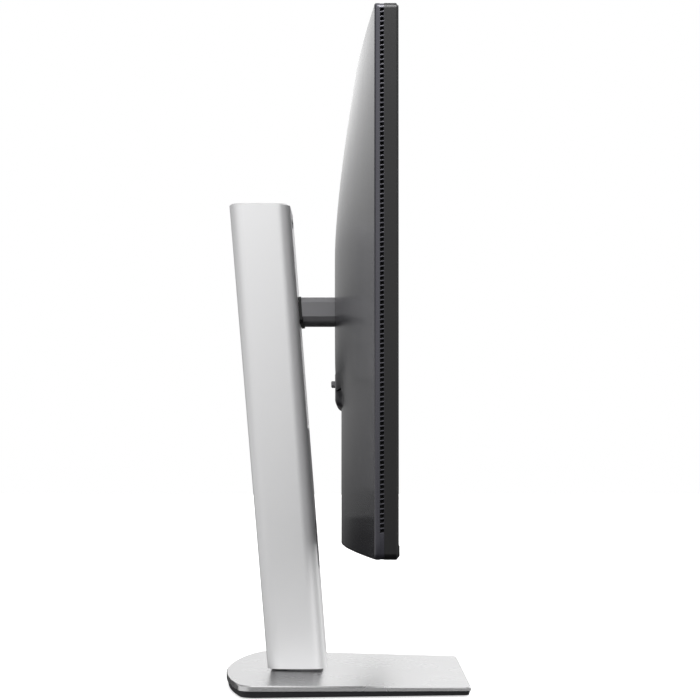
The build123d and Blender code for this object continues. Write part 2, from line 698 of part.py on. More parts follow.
VESA_BACK = MOUNT_PLATE_BACK - PLATE_THICK - 0.2
VESA_THICK = 2.0
SHELF_HALF = 12.0
SHELF_HIGH = 215.6
with BuildPart() as screw_plate:
    block(
        (-MOUNT_HALF - 2, MOUNT_HALF + 2),
        (VESA_BACK - VESA_THICK, VESA_BACK),
        (MOUNT_LOW - 2, MOUNT_HIGH + 2),
    )
    # tab below, with a shelf that the latch spring stands on
    block(
        (-SHELF_HALF, SHELF_HALF),
        (VESA_BACK - VESA_THICK, VESA_BACK),
        (SHELF_HIGH - 2, MOUNT_LOW),
    )
    block((-SHELF_HALF, SHELF_HALF), (VESA_BACK, -4), (SHELF_HIGH - 2, SHELF_HIGH))
    with Locations(Pos(0, VESA_BACK, MOUNT_MID) * Rot(90, 0, 0)):
        with GridLocations(SCREW_GRID, SCREW_GRID, 2, 2):
            Cylinder(1.65, 20, mode=Mode.SUBTRACT)
screw_plate.part.label = "screw_plate"
export_step(screw_plate.part, "parts/screw_plate.step")

# ---------------------------------------------------------------- latch of the mount
LATCH_TRAVEL = 3.0
BUTTON_Z = 238.0
BUTTON_HALF = 7.0
BUTTON_HALF_HEIGHT = 2.5
BUTTON_BACK = 12.0
STEM_HALF = 4.0
WEDGE_Y = 1.0

# The button's inner end is a 45-degree wedge that pushes the latch bolt down.
with BuildPart() as release_button:
    block(
        (-BUTTON_HALF, BUTTON_HALF),
        (4.0, BUTTON_BACK),
        (BUTTON_Z - BUTTON_HALF_HEIGHT, BUTTON_Z + BUTTON_HALF_HEIGHT),
    )
    fillet(release_button.edges().filter_by(Axis.Y), radius=2)
    fillet(release_button.faces().sort_by(Axis.Y)[-1].edges(), radius=0.8)
    with BuildSketch(Plane.YZ):
        with BuildLine():
            Polyline(
                (4.0, BUTTON_Z - 2.2),
                (4.0, BUTTON_Z + 2.2),
                (WEDGE_Y - 2.2, BUTTON_Z + 2.2),
                (WEDGE_Y + 2.2, BUTTON_Z - 2.2),
                (4.0, BUTTON_Z - 2.2),
            )
        make_face()
    extrude(amount=STEM_HALF, both=True)
release_button.part.label = "release_button"
export_step(release_button.part, "parts/release_button.step")

# Steel bolt whose nose holds the mount plate's lower edge.
BOLT_LOW = 224.0
NOSE_HIGH = MOUNT_LOW + 3.2
with BuildPart() as latch_bolt:
    block((-8, 8), (VESA_BACK + 0.1, MOUNT_PLATE_BACK), (BOLT_LOW, MOUNT_LOW - 0.3))
    block((-8, 8), (MOUNT_PLATE_BACK, MOUNT_PLATE_BACK + 2), (BOLT_LOW, NOSE_HIGH))
    with BuildSketch(Plane.YZ):
        with BuildLine():
            Polyline(
                (MOUNT_PLATE_BACK + 2, BUTTON_Z - 9),
                (WEDGE_Y + 2.2, BUTTON_Z - 9),
                (WEDGE_Y + 2.2, BUTTON_Z - 2.4),
                (WEDGE_Y - 2.2, BUTTON_Z + 2.0),
                (MOUNT_PLATE_BACK + 2, BUTTON_Z + 2.0),
                (MOUNT_PLATE_BACK + 2, BUTTON_Z - 9),
            )
        make_face()
    extrude(amount=STEM_HALF, both=True)
latch_bolt.part.label = "latch_bolt"
export_step(latch_bolt.part, "parts/latch_bolt.step")

SPRING_R = 1.6
SPRING_WIRE_R = 0.35
SPRING_LOW = 215.7
SPRING_Y = (VESA_BACK + MOUNT_PLATE_BACK + 2) / 2
with BuildPart() as latch_spring:
    with BuildLine():
        coil = Helix(
            pitch=1.5,
            height=BOLT_LOW - SPRING_LOW - 2 * SPRING_WIRE_R - 0.1,
            radius=SPRING_R,
            center=(0, SPRING_Y, SPRING_LOW + SPRING_WIRE_R),
        )
    with BuildSketch(Plane(coil @ 0, z_dir=coil % 0)):
        Circle(SPRING_WIRE_R)
    sweep(is_frenet=True)
latch_spring.part.label = "latch_spring"
export_step(latch_spring.part, "parts/latch_spring.step")


# ---------------------------------------------------------------- rear cover
def dome_centre(z):
    """Y of the rear cover's low dome at its middle, which falls away towards the top."""
    fall = max(z - DOME_FALL_FROM, 0) / (HEAD_TOP - DOME_FALL_FROM)
    return DOME_BACK - 10.4 * fall**1.35


def dome_back(x, z, inset=0.0):
    """Y of the rear cover's outer skin, or of a skin that lies inset inside it. The low dome at the
    bottom swells into flat-topped shoulders at the height of the mount."""
    share = min(abs(x) / HALF_WIDTH, 1)
    low = COVER_EDGE + (dome_centre(z) - COVER_EDGE) * (1 - share**DOME_POWER)
    outward = max(abs(x) - SHOULDER_HALF, 0) / (HALF_WIDTH - SHOULDER_HALF)
    crest = BOSS_BACK - 0.00783 * max(z - SHOULDER_TOP, 0) ** 1.55
    high = COVER_EDGE + (crest - COVER_EDGE) * (1 - min(outward, 1) ** SHOULDER_POWER)
    way = min(max((z - SHOULDER_LOW) / (SHOULDER_HIGH - SHOULDER_LOW), 0), 1)
    return low + (high - low) * way**2 * (3 - 2 * way) - inset


def cover_body(inset):
    """Solid under the rear skin, lofted through level sections."""
    half = HALF_WIDTH - inset
    levels = [HEAD_BOTTOM + inset, 160, 205, 228, 252, 276, 300, 335, 370, 405, 435, HEAD_TOP - inset]
    half_shares = [0.14, 0.24, 0.38, 0.55, 0.75, 0.9, 1]
    shares = [-s for s in reversed(half_shares)] + [0] + half_shares
    with BuildPart() as body:
        for z in levels:
            with BuildSketch(Plane.XY.offset(z)):
                with BuildLine():
                    back = Spline([(half * s, dome_back(half * s, z, inset)) for s in shares])
                    Polyline(back @ 1, (half, COVER_FRONT), (-half, COVER_FRONT), back @ 0)
                make_face()
        loft()
    return body.part


def mount_boss(inset):
    """Raised boss round the mount: three prisms meeting, narrowed below to a tongue."""
    half = BOSS_HALF - inset
    low = BOSS_BOTTOM + inset
    with BuildPart() as boss:
        with BuildSketch(Plane.YZ):
            with BuildLine():
                Polyline(
                    (-12, low),
                    (DOME_BACK - inset, low),
                    (BOSS_BACK - inset, low + 5),
                    (BOSS_BACK - inset, 346),
                    (4.5 - inset, 389),
                    (1.0 - inset, BOSS_TOP),
                    (-12, BOSS_TOP),
                    (-12, low),
                )
            make_face()
        extrude(amount=100, both=True)
        with BuildSketch():
            with BuildLine():
                Polyline(
                    (-half - 16, -12),
                    (-half, BOSS_BACK + 1),
                    (half, BOSS_BACK + 1),
                    (half + 16, -12),
                    (-half - 16, -12),
                )
            make_face()
        extrude(amount=500, mode=Mode.INTERSECT)
        with BuildSketch(Plane.XZ):
            with BuildLine():
                Polyline(
                    (-90, 420),
                    (-90, 252),
                    (-28, low),
                    (28, low),
                    (90, 252),
                    (90, 420),
                    (-90, 420),
                )
            make_face()
        extrude(amount=60, both=True, mode=Mode.INTERSECT)
    return boss.part


COVER_SCREWS = [(-150, -16), (-55, -14), (55, -14), (150, -16)]
LOCK_SLOT_X = 178.0
LOCK_SLOT_Z = 190.0

with BuildPart() as rear_cover:
    add(cover_body(0))
    add(mount_boss(0))
    add(cover_body(SKIN), mode=Mode.SUBTRACT)
    block(
        (-HALF_WIDTH + SKIN, HALF_WIDTH - SKIN),
        (COVER_FRONT - 1, COVER_FRONT + 0.6),
        (HEAD_BOTTOM + SKIN, HEAD_TOP - SKIN),
        Mode.SUBTRACT,
    )
    add(mount_boss(SKIN), mode=Mode.SUBTRACT)
    # walls round the mount recess
    block(
        (-MOUNT_HALF - 2, MOUNT_HALF + 2),
        (VESA_BACK, BOSS_BACK - 2.4),
        (MOUNT_LOW - 2, MOUNT_HIGH + 2),
    )
    block(
        (-MOUNT_HALF, MOUNT_HALF),
        (VESA_BACK - 1, BOSS_BACK + 2),
        (MOUNT_LOW, MOUNT_HIGH),
        Mode.SUBTRACT,
    )
    # notch for the latch bolt's nose
    block(
        (-8.5, 8.5),
        (VESA_BACK - 1, MOUNT_PLATE_BACK + 2.5),
        (MOUNT_LOW - 3, MOUNT_LOW + 1),
        Mode.SUBTRACT,
    )
    # hole of the release button
    with BuildSketch(Plane.XZ.offset(-BOSS_BACK + 3)):
        with Locations((0, BUTTON_Z)):
            RectangleRounded(2 * BUTTON_HALF + 0.8, 2 * BUTTON_HALF_HEIGHT + 0.8, 2.3)
    extrude(amount=-10, mode=Mode.SUBTRACT)
    # connector bay: back wall and end walls, open below and to the rear
    with BuildPart(mode=Mode.PRIVATE) as bay_walls:
        block(
            (BAY_LEFT - 2, BAY_RIGHT + 2),
            (BAY_FLOOR - 2, BOSS_BACK),
            (BAY_LOW - 2, BAY_HIGH),
        )
        add(cover_body(1), mode=Mode.INTERSECT)
    add(bay_walls.part)
    block((BAY_LEFT, BAY_RIGHT), (BAY_FLOOR, BOSS_BACK + 4), (BAY_LOW, BAY_HIGH), Mode.SUBTRACT)
    with Locations((LOCK_SLOT_X, -10, LOCK_SLOT_Z)):
        Box(7, 30, 3.2, mode=Mode.SUBTRACT)
    with Locations(*[(x, y, HEAD_BOTTOM) for x, y in COVER_SCREWS]):
        Cylinder(1.6, 20, mode=Mode.SUBTRACT)
        Cylinder(3.1, 2.8, mode=Mode.SUBTRACT)
rear_cover.part.label = "rear_cover"
export_step(rear_cover.part, "parts/rear_cover.step")

with BuildPart() as cover_screws:
    with Locations(*[(x, y, HEAD_BOTTOM + 0.2) for x, y in COVER_SCREWS]):
        Cylinder(3.0, 1.2, align=(Align.CENTER, Align.CENTER, Align.MIN))
        Cylinder(1.5, 9, align=(Align.CENTER, Align.CENTER, Align.MIN))
cover_screws.part.label = "cover_screws"
export_step(cover_screws.part, "parts/cover_screws.step")


# ---------------------------------------------------------------- frame and vents
WALL = 2.0
FRONT_THICK = 1.2
BUTTON_Y = -33.5
BUTTON_XS = {"menu_button_1": 222, "menu_button_2": 238, "menu_button_3": 254, "power_button": 276}
KEY_HALF_WIDTH = 4.5
KEY_HALF_DEPTH = 1.8

with BuildPart() as front_frame:
    with BuildSketch(Plane.XZ.offset(-FRAME_BACK)):
        with Locations((0, HEAD_MID)):
            RectangleRounded(HEAD_WIDTH, HEAD_HEIGHT, HEAD_CORNER)
    extrude(amount=FRAME_DEPTH)
    low_front = front_frame.edges().filter_by(Axis.X).group_by(Axis.Z)[0].sort_by(Axis.Y)[0]
    chamfer(low_front, length=2.0, length2=2.5)
    block(
        (-HALF_WIDTH + WALL, HALF_WIDTH - WALL),
        (HEAD_FRONT + FRONT_THICK, FRAME_BACK + 1),
        (HEAD_BOTTOM + WALL, HEAD_TOP - WALL),
        Mode.SUBTRACT,
    )
    block(
        (-HALF_WIDTH + LIP, HALF_WIDTH - LIP),
        (HEAD_FRONT - 1, HEAD_FRONT + FRONT_THICK + 1),
        (HEAD_BOTTOM + CHIN, HEAD_TOP - LIP),
        Mode.SUBTRACT,
    )
    for x in BUTTON_XS.values():
        with Locations((x, BUTTON_Y, HEAD_BOTTOM)):
            Box(
                2 * KEY_HALF_WIDTH + 0.6,
                2 * KEY_HALF_DEPTH + 0.6,
                3 * WALL,
                mode=Mode.SUBTRACT,
            )
front_frame.part.label = "front_frame"
export_step(front_frame.part, "parts/front_frame.step")

VENT_PITCH = 3.08
VENT_HIGH = 2.0
VENT_WIDE = 2.4
VENT_RISE = 0.35
SIDE_VENTS = 109
SIDE_VENT_MID = 293.5
TOP_VENTS = 97

def vent_slot():
    """One slot, drawn flat: a parallelogram that rises towards the front of the head."""
    half_wide = VENT_WIDE / 2
    half_high = VENT_HIGH / 2
    with BuildSketch() as slot:
        with BuildLine():
            Polyline(
                (-half_wide, VENT_RISE + half_high),
                (-half_wide, VENT_RISE - half_high),
                (half_wide, -VENT_RISE - half_high),
                (half_wide, -VENT_RISE + half_high),
                close=True,
            )
        make_face()
    return slot.sketch


with BuildPart() as vent_band:
    with BuildSketch(Plane.XZ.offset(-COVER_FRONT)):
        with Locations((0, HEAD_MID)):
            RectangleRounded(HEAD_WIDTH - 0.4, HEAD_HEIGHT - 0.4, HEAD_CORNER)
            Rectangle(HEAD_WIDTH - 2 * SKIN, HEAD_HEIGHT - 2 * SKIN, mode=Mode.SUBTRACT)
    extrude(amount=VENT_DEPTH)
    slot_y = (FRAME_BACK + COVER_FRONT) / 2
    with BuildSketch(Plane.YZ.offset(-HALF_WIDTH - 1)):
        with Locations((slot_y, SIDE_VENT_MID)):
            with GridLocations(1, VENT_PITCH, 1, SIDE_VENTS):
                add(vent_slot())
    extrude(amount=HEAD_WIDTH + 2, mode=Mode.SUBTRACT)
    with BuildSketch(Plane.XY.offset(HEAD_TOP - SKIN - 1)):
        with Locations((0, slot_y)):
            with GridLocations(VENT_PITCH, 1, TOP_VENTS, 1):
                add(vent_slot(), rotation=90)
    extrude(amount=2 * SKIN, mode=Mode.SUBTRACT)
vent_band.part.label = "vent_band"
export_step(vent_band.part, "parts/vent_band.step")


# ---------------------------------------------------------------- display stack
def sheet(inset, front, thick):
    """A flat sheet of the display stack, seen from the front."""
    block(
        (-HALF_WIDTH + LIP + inset, HALF_WIDTH - LIP - inset),
        (front, front + thick),
        (HEAD_BOTTOM + CHIN + inset, HEAD_TOP - LIP - inset),
    )


GLASS_FRONT = HEAD_FRONT + 0.5
with BuildPart() as screen_glass:
    sheet(0.2, GLASS_FRONT, 1.2)
screen_glass.part.label = "screen_glass"
export_step(screen_glass.part, "parts/screen_glass.step")

with BuildPart() as display_cell:
    sheet(1.0, GLASS_FRONT + 1.2, 1.1)
display_cell.part.label = "display_cell"
export_step(display_cell.part, "parts/display_cell.step")

with BuildPart() as light_guide:
    sheet(3.0, GLASS_FRONT + 2.3, 3.0)
light_guide.part.label = "light_guide"
export_step(light_guide.part, "parts/light_guide.step")

with BuildPart() as lamp_bar:
    block(
        (-HALF_WIDTH + 8, HALF_WIDTH - 8),
        (GLASS_FRONT + 2.5, GLASS_FRONT + 5.1),
        (HEAD_BOTTOM + CHIN + 1, HEAD_BOTTOM + CHIN + 2.6),
    )
lamp_bar.part.label = "lamp_bar"
export_step(lamp_bar.part, "parts/lamp_bar.step")

with BuildPart() as back_pan:
    sheet(1.0, GLASS_FRONT + 5.4, 0.8)
back_pan.part.label = "back_pan"
export_step(back_pan.part, "parts/back_pan.step")

# Steel chassis behind the display, with posts that carry the threaded mounting plate.
CHASSIS_FRONT = GLASS_FRONT + 6.4
CHASSIS_THICK = 1.0
POST_X = 46.0
POST_HALF = 5.0
with BuildPart() as chassis:
    block(
        (-286, 286),
        (CHASSIS_FRONT, CHASSIS_FRONT + CHASSIS_THICK),
        (HEAD_BOTTOM + 16, HEAD_TOP - 16),
    )
    fillet(chassis.edges().filter_by(Axis.Y), radius=8)
    for side in (-1, 1):
        for z in (MOUNT_LOW + 12, MOUNT_HIGH - 12):
            block(
                (side * POST_X - POST_HALF, side * POST_X + POST_HALF),
                (CHASSIS_FRONT + CHASSIS_THICK, VESA_BACK - VESA_THICK),
                (z - POST_HALF, z + POST_HALF),
            )
chassis.part.label = "chassis"
export_step(chassis.part, "parts/chassis.step")

# ---------------------------------------------------------------- electronics
BOARD_BACK = -20.8
BOARD_THICK = 1.6
PLATE_TOP = BAY_HIGH + CONNECTOR_PLATE

with BuildPart() as main_board:
    block((62, 190), (BOARD_BACK - BOARD_THICK, BOARD_BACK), (PLATE_TOP + 0.6, 330))
    block((84, 112), (BOARD_BACK, BOARD_BACK + 4), (262, 290))
    block((126, 140), (BOARD_BACK, BOARD_BACK + 1.4), (270, 284))
    block((126, 140), (BOARD_BACK, BOARD_BACK + 1.4), (248, 262))
    with Locations((160, BOARD_BACK, 300), (172, BOARD_BACK, 300), (160, BOARD_BACK, 286)):
        Cylinder(3, 6, rotation=(90, 0, 0), align=(Align.CENTER, Align.CENTER, Align.MAX))
main_board.part.label = "main_board"
export_step(main_board.part, "parts/main_board.step")

with BuildPart() as power_board:
    block((-190, -62), (BOARD_BACK - BOARD_THICK, BOARD_BACK), (210, 330))
    block((-120, -88), (BOARD_BACK, BOARD_BACK + 12), (250, 278))
    block((-160, -136), (BOARD_BACK, BOARD_BACK + 8), (290, 308))
    with Locations((-76, BOARD_BACK, 300), (-76, BOARD_BACK, 316)):
        Cylinder(6, 10, rotation=(90, 0, 0), align=(Align.CENTER, Align.CENTER, Align.MAX))
power_board.part.label = "power_board"
export_step(power_board.part, "parts/power_board.step")

# Connector sockets look straight down out of the bay's ceiling plate.
INLET_X = 37.0
INLET_Y = -10.7
INLET_HALF_X = 13.9
INLET_HALF_Y = 9.6
PORT_FRONT = BOARD_BACK + 0.1
PORTS = {
    "video_port_wide": (72.0, 15.2, 5.8),
    "video_port_narrow": (93.0, 16.6, 5.6),
    "data_port_small": (111.0, 9.4, 3.6),
}
DATA_PORT_XS = (126.0, 141.5)
DATA_PORT = (14.0, 6.4)

with BuildPart() as connector_plate:
    with BuildSketch(Plane.XY.offset(BAY_HIGH)):
        with BuildLine():
            Polyline(
                (BAY_LEFT, BAY_FLOOR),
                (BAY_RIGHT, BAY_FLOOR),
                (BAY_RIGHT, dome_back(BAY_RIGHT, BAY_HIGH, SKIN + 0.3)),
                (85, dome_back(85, BAY_HIGH, SKIN + 0.3)),
                (BAY_LEFT, dome_back(BAY_LEFT, BAY_HIGH, SKIN + 0.6)),
                (BAY_LEFT, BAY_FLOOR),
            )
        make_face()
        with Locations((INLET_X, INLET_Y)):
            Rectangle(2 * INLET_HALF_X + 0.2, 2 * INLET_HALF_Y + 0.2, mode=Mode.SUBTRACT)
        for x, wide, deep in PORTS.values():
            with Locations((x, PORT_FRONT + deep / 2)):
                Rectangle(wide + 0.3, deep + 0.3, mode=Mode.SUBTRACT)
        for x in DATA_PORT_XS:
            with Locations((x, PORT_FRONT + DATA_PORT[1] / 2)):
                Rectangle(DATA_PORT[0] + 0.3, DATA_PORT[1] + 0.3, mode=Mode.SUBTRACT)
    extrude(amount=CONNECTOR_PLATE)
connector_plate.part.label = "connector_plate"
export_step(connector_plate.part, "parts/connector_plate.step")

with BuildPart() as power_inlet:
    with Locations((INLET_X, INLET_Y, BAY_HIGH - 0.4)):
        Box(
            2 * INLET_HALF_X,
            2 * INLET_HALF_Y,
            22,
            align=(Align.CENTER, Align.CENTER, Align.MIN),
        )
        Box(24, 16.2, 34, mode=Mode.SUBTRACT)
    for x, y in ((-7, 1.5), (0, -2.5), (7, 1.5)):
        with Locations((INLET_X + x, INLET_Y + y, BAY_HIGH + 4)):
            Box(2, 4, 14, align=(Align.CENTER, Align.CENTER, Align.MIN))
power_inlet.part.label = "power_inlet"
export_step(power_inlet.part, "parts/power_inlet.step")


def socket(x, wide, deep, tall):
    """A metal socket shell, open below, with a contact tongue inside."""
    middle = (x, PORT_FRONT + deep / 2, BAY_HIGH)
    with Locations(middle):
        Box(wide, deep, tall, align=(Align.CENTER, Align.CENTER, Align.MIN))
        Box(wide - 0.8, deep - 0.8, 2 * (tall - 2), mode=Mode.SUBTRACT)
    with Locations((x, middle[1], BAY_HIGH + 2)):
        Box(wide - 3, deep * 0.2, tall - 3, align=(Align.CENTER, Align.CENTER, Align.MIN))


for port_name, (port_x, port_wide, port_deep) in PORTS.items():
    with BuildPart() as port:
        socket(port_x, port_wide, port_deep, 12)
    port.part.label = port_name
    export_step(port.part, f"parts/{port_name}.step")

with BuildPart() as data_ports:
    for x in DATA_PORT_XS:
        socket(x, DATA_PORT[0], DATA_PORT[1], 15)
data_ports.part.label = "data_ports"
export_step(data_ports.part, "parts/data_ports.step")

# ---------------------------------------------------------------- keys under the frame
KEY_PROUD = 0.7
KEY_TRAVEL = 0.6
FLANGE_TOP = HEAD_BOTTOM + WALL + 1.2
for key_name, key_x in BUTTON_XS.items():
    with BuildPart() as key:
        block(
            (key_x - KEY_HALF_WIDTH, key_x + KEY_HALF_WIDTH),
            (BUTTON_Y - KEY_HALF_DEPTH, BUTTON_Y + KEY_HALF_DEPTH),
            (HEAD_BOTTOM - KEY_PROUD, FLANGE_TOP),
        )
        fillet(key.edges().filter_by(Axis.Z), radius=1.2)
        fillet(key.faces().sort_by(Axis.Z)[0].edges(), radius=0.4)
        block(
            (key_x - KEY_HALF_WIDTH - 1, key_x + KEY_HALF_WIDTH + 1),
            (BUTTON_Y - KEY_HALF_DEPTH - 0.8, BUTTON_Y + KEY_HALF_DEPTH + 0.8),
            (HEAD_BOTTOM + WALL + RUNNING, FLANGE_TOP),
        )
    key.part.label = key_name
    export_step(key.part, f"parts/{key_name}.step")

SWITCH_LOW = FLANGE_TOP + KEY_TRAVEL + 0.1
with BuildPart() as button_board:
    block((214, 286), (BUTTON_Y - 3, BUTTON_Y + 3), (SWITCH_LOW + 1.2, SWITCH_LOW + 2.4))
    for x in BUTTON_XS.values():
        block((x - 2, x + 2), (BUTTON_Y - 1.5, BUTTON_Y + 1.5), (SWITCH_LOW, SWITCH_LOW + 1.2))
button_board.part.label = "button_board"
export_step(button_board.part, "parts/button_board.step")
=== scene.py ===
# %% [markdown]
# # A computer monitor on its stand
# The object is a wide flat monitor: a thin head with vents round its edge and a shallow dome behind,
# a short arm, a leaning silver column and a thin silver foot.
#
# The frame comes first. It brings every CAD piece, in metres, with the screen facing -Y and +Z up.
# Nothing here moves a CAD piece: each one only gets its finish. Two of them, the rear cover and the
# vent band, are made again in finer shape, in millimetres, at the places that the CAD gives.

# %% Load the frame
import json
import math
import bmesh
import bpy
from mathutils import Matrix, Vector

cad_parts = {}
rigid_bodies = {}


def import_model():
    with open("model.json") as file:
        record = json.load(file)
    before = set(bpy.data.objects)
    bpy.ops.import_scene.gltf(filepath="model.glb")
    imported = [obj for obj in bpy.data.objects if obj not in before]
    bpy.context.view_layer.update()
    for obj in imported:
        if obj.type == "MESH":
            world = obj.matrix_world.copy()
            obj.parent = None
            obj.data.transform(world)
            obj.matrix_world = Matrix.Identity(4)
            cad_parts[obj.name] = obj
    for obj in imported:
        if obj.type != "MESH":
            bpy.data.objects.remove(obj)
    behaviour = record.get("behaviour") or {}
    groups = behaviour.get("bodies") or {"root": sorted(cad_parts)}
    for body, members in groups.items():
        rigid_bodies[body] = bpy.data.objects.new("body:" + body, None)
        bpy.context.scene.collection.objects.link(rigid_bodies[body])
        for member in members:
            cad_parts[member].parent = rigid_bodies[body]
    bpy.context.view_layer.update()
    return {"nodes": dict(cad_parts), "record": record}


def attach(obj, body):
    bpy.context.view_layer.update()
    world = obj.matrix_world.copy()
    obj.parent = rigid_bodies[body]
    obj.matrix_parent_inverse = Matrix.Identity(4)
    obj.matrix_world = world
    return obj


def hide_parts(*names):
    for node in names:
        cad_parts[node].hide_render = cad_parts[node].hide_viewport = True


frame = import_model()
MM = 0.001

# %% [markdown]
# ## Camera
# The monitor is seen exactly from its side, from a metre and a half away and a little above the
# table. The camera tilts up by two degrees and the lens is shifted for the rest, which keeps upright
# edges very nearly parallel.

# %% Camera
camera = bpy.data.objects.new("camera", bpy.data.cameras.new("camera"))
bpy.context.scene.collection.objects.link(camera)
camera.location = (-1.386, -0.021, 0.156)
camera.rotation_euler = (math.radians(92.2), 0, math.radians(-90))
camera.data.sensor_width = 36
camera.data.lens = 87.9
camera.data.shift_x = -0.0314
camera.data.shift_y = 0.1
camera.data.clip_end = 30
bpy.context.scene.camera = camera
print("camera lens", camera.data.lens, "mm")

# %% [markdown]
# ## Writing node trees as sums
# A finish is a tree of nodes, and most of its nodes only add or multiply. Wiring those one by one is
# long to write and hard to read. So one small class wraps an output socket: Python's operators add
# Math nodes, and its node() method adds any other node. The same class works in Geometry Nodes.

# %% A socket that can be reckoned with
class Wire:
    """An output socket of a node tree, or a bare tree to start from."""

    def __init__(self, tree, socket=None):
        self.tree = tree
        self.socket = socket

    def node(self, kind, settings=None, inputs=None, output=0):
        """Adds a node: its settings first, then its sockets, by name or number."""
        made = self.tree.nodes.new(kind)
        for name, value in (settings or {}).items():
            setattr(made, name, value)
        for name, value in (inputs or {}).items():
            if isinstance(value, Wire):
                self.tree.links.new(value.socket, made.inputs[name])
            else:
                made.inputs[name].default_value = value
        return Wire(self.tree, made.outputs[output])

    def maths(self, operation, *values):
        """A Math node on numbers or wires."""
        return self.node("ShaderNodeMath", {"operation": operation}, dict(enumerate(values)))

    def ramp(self, low, high, start_at=0.0, end_at=1.0, smooth=True):
        """Goes from start_at to end_at, smoothly or straight, while this wire goes from low to high."""
        return self.node(
            "ShaderNodeMapRange", {"interpolation_type": "SMOOTHSTEP" if smooth else "LINEAR"},
            {"Value": self, "From Min": low, "From Max": high, "To Min": start_at, "To Max": end_at})

    def __add__(self, other):
        return self.maths("ADD", self, other)

    def __radd__(self, other):
        return self.maths("ADD", other, self)

    def __sub__(self, other):
        return self.maths("SUBTRACT", self, other)

    def __rsub__(self, other):
        return self.maths("SUBTRACT", other, self)

    def __mul__(self, other):
        return self.maths("MULTIPLY", self, other)

    def __rmul__(self, other):
        return self.maths("MULTIPLY", other, self)

    def __truediv__(self, other):
        return self.maths("DIVIDE", self, other)

    def __rtruediv__(self, other):
        return self.maths("DIVIDE", other, self)

    def __pow__(self, other):
        return self.maths("POWER", self, other)

    def __abs__(self):
        return self.maths("ABSOLUTE", self)


print("a wire can be added, multiplied, raised to a power and ramped")

# %% [markdown]
# ## Finishes
# Every surface of a monitor is moulded plastic, blasted aluminium, sheet metal or paint, and none is
# truly even. One recipe serves them all: a fine noise gives the grain, both in shade and in the bump,
# and a slow noise shifts the shade and the gloss over a few centimetres. Only the sizes and colours
# differ from one finish to the next.

# %% One recipe for a grained surface
PATCHES = 38.0


def finish(name, colour, roughness, metallic=0.0, grain=1.0, grain_size=0.4, depth=0.01,
           mottle=0.06, smear=0.08, **fixed):
    """A moulded, painted or blasted finish. The size of a grain and its depth are in millimetres.
    Mottle is how much the shade changes, and smear how much the gloss does."""
    material = bpy.data.materials.new(name)
    material.use_nodes = True
    tree = material.node_tree
    shader = tree.nodes["Principled BSDF"]
    start = Wire(tree)
    place = start.node("ShaderNodeTexCoord", output="Object")
    slow = start.node("ShaderNodeTexNoise", None, {"Vector": place, "Scale": PATCHES, "Detail": 3.0})
    fine = start.node(
        "ShaderNodeTexNoise", None,
        {"Vector": place, "Scale": 1000 / grain_size, "Detail": 2.0, "Roughness": 0.55})
    shade = (1 - mottle) + slow * mottle + fine * (mottle * 0.8) - mottle * 0.4
    tint = start.node("ShaderNodeVectorMath", {"operation": "SCALE"},
                      {0: tuple(colour), "Scale": shade})
    gloss = roughness - smear / 2 + slow * smear
    bump = start.node("ShaderNodeBump", None,
                      {"Strength": grain, "Distance": depth * MM, "Height": fine})
    tree.links.new(tint.socket, shader.inputs["Base Color"])
    tree.links.new(gloss.socket, shader.inputs["Roughness"])
    tree.links.new(bump.socket, shader.inputs["Normal"])
    shader.inputs["Metallic"].default_value = metallic
    for socket, value in fixed.items():
        shader.inputs[socket.replace("_", " ")].default_value = value
    return material


print("patches of slow change, per metre:", PATCHES)

# %% [markdown]
# The silver is aluminium with a clear satin coat, so it is only partly a mirror. The cover is a dark
# plastic with a sheen: seen along its surface it turns pale, and seen square on it is nearly black.
# The front frame is darker and duller, and the arm paler.

# %% A finish for every slot
FINISHES = {
    "silver": finish("satin_silver", (0.78, 0.78, 0.785), 0.42, 0.6, 0.35, 0.25, 0.006, 0.03, 0.04),
    "foot_silver": finish("foot_silver", (0.62, 0.62, 0.625), 0.27, 0.85, 0.35, 0.25, 0.006, 0.03,
                          0.03, Specular_Tint=(0.66, 0.66, 0.66, 1.0)),
    "foot_black": finish("foot_black", (0.022, 0.022, 0.024), 0.5),
    "rubber": finish("rubber", (0.02, 0.02, 0.02), 0.8, 0, 1, 0.8, 0.02),
    "steel": finish("zinc_steel", (0.55, 0.55, 0.57), 0.35, 1.0, 0.4, 0.3, 0.004),
    "cast": finish("cast_metal", (0.42, 0.42, 0.43), 0.5, 1.0, 1.0, 0.6, 0.02),
    "spring_steel": finish("spring_steel", (0.36, 0.37, 0.40), 0.28, 1.0, 0.3, 0.3, 0.003),
    "charcoal": finish("cover_charcoal", (0.022, 0.022, 0.027), 0.22, 0, 0.5, 0.5, 0.004, 0.04, 0.015,
                       Specular_Tint=(0.93, 0.91, 1.0, 1.0)),
    "charcoal_dark": finish("frame_charcoal", (0.008, 0.008, 0.0083), 0.34, 0, 0.5, 0.5, 0.008,
                            Specular_IOR_Level=0.25),
    "arm_charcoal": finish("arm_charcoal", (0.25, 0.248, 0.26), 0.45, 0, 0.6, 0.5, 0.01),
    "glide": finish("nylon", (0.75, 0.74, 0.7), 0.45),
    "screen": finish("screen_glass", (0.006, 0.006, 0.007), 0.25, 0, 0.3, 0.12, 0.002, 0.02, 0.02),
    "cell": finish("cell", (0.03, 0.03, 0.045), 0.2),
    "guide": finish("light_guide", (0.8, 0.83, 0.85), 0.15),
    "sheet_steel": finish("sheet_steel", (0.5, 0.5, 0.52), 0.4, 1.0, 0.4, 3.0, 0.01, 0.2, 0.2),
    "board": finish("solder_mask", (0.01, 0.11, 0.045), 0.35),
    "black_painted": finish("black_paint", (0.02, 0.02, 0.022), 0.45, 0, 0.8, 0.8, 0.015),
    "socket_shell": finish("nickel_shell", (0.62, 0.62, 0.62), 0.25, 1.0, 0.2, 0.4, 0.003),
    "connector_black": finish("connector_black", (0.012, 0.012, 0.012), 0.45),
}
slot_of = {part["node"]: part["material_slot"] for part in frame["record"]["subparts"]}
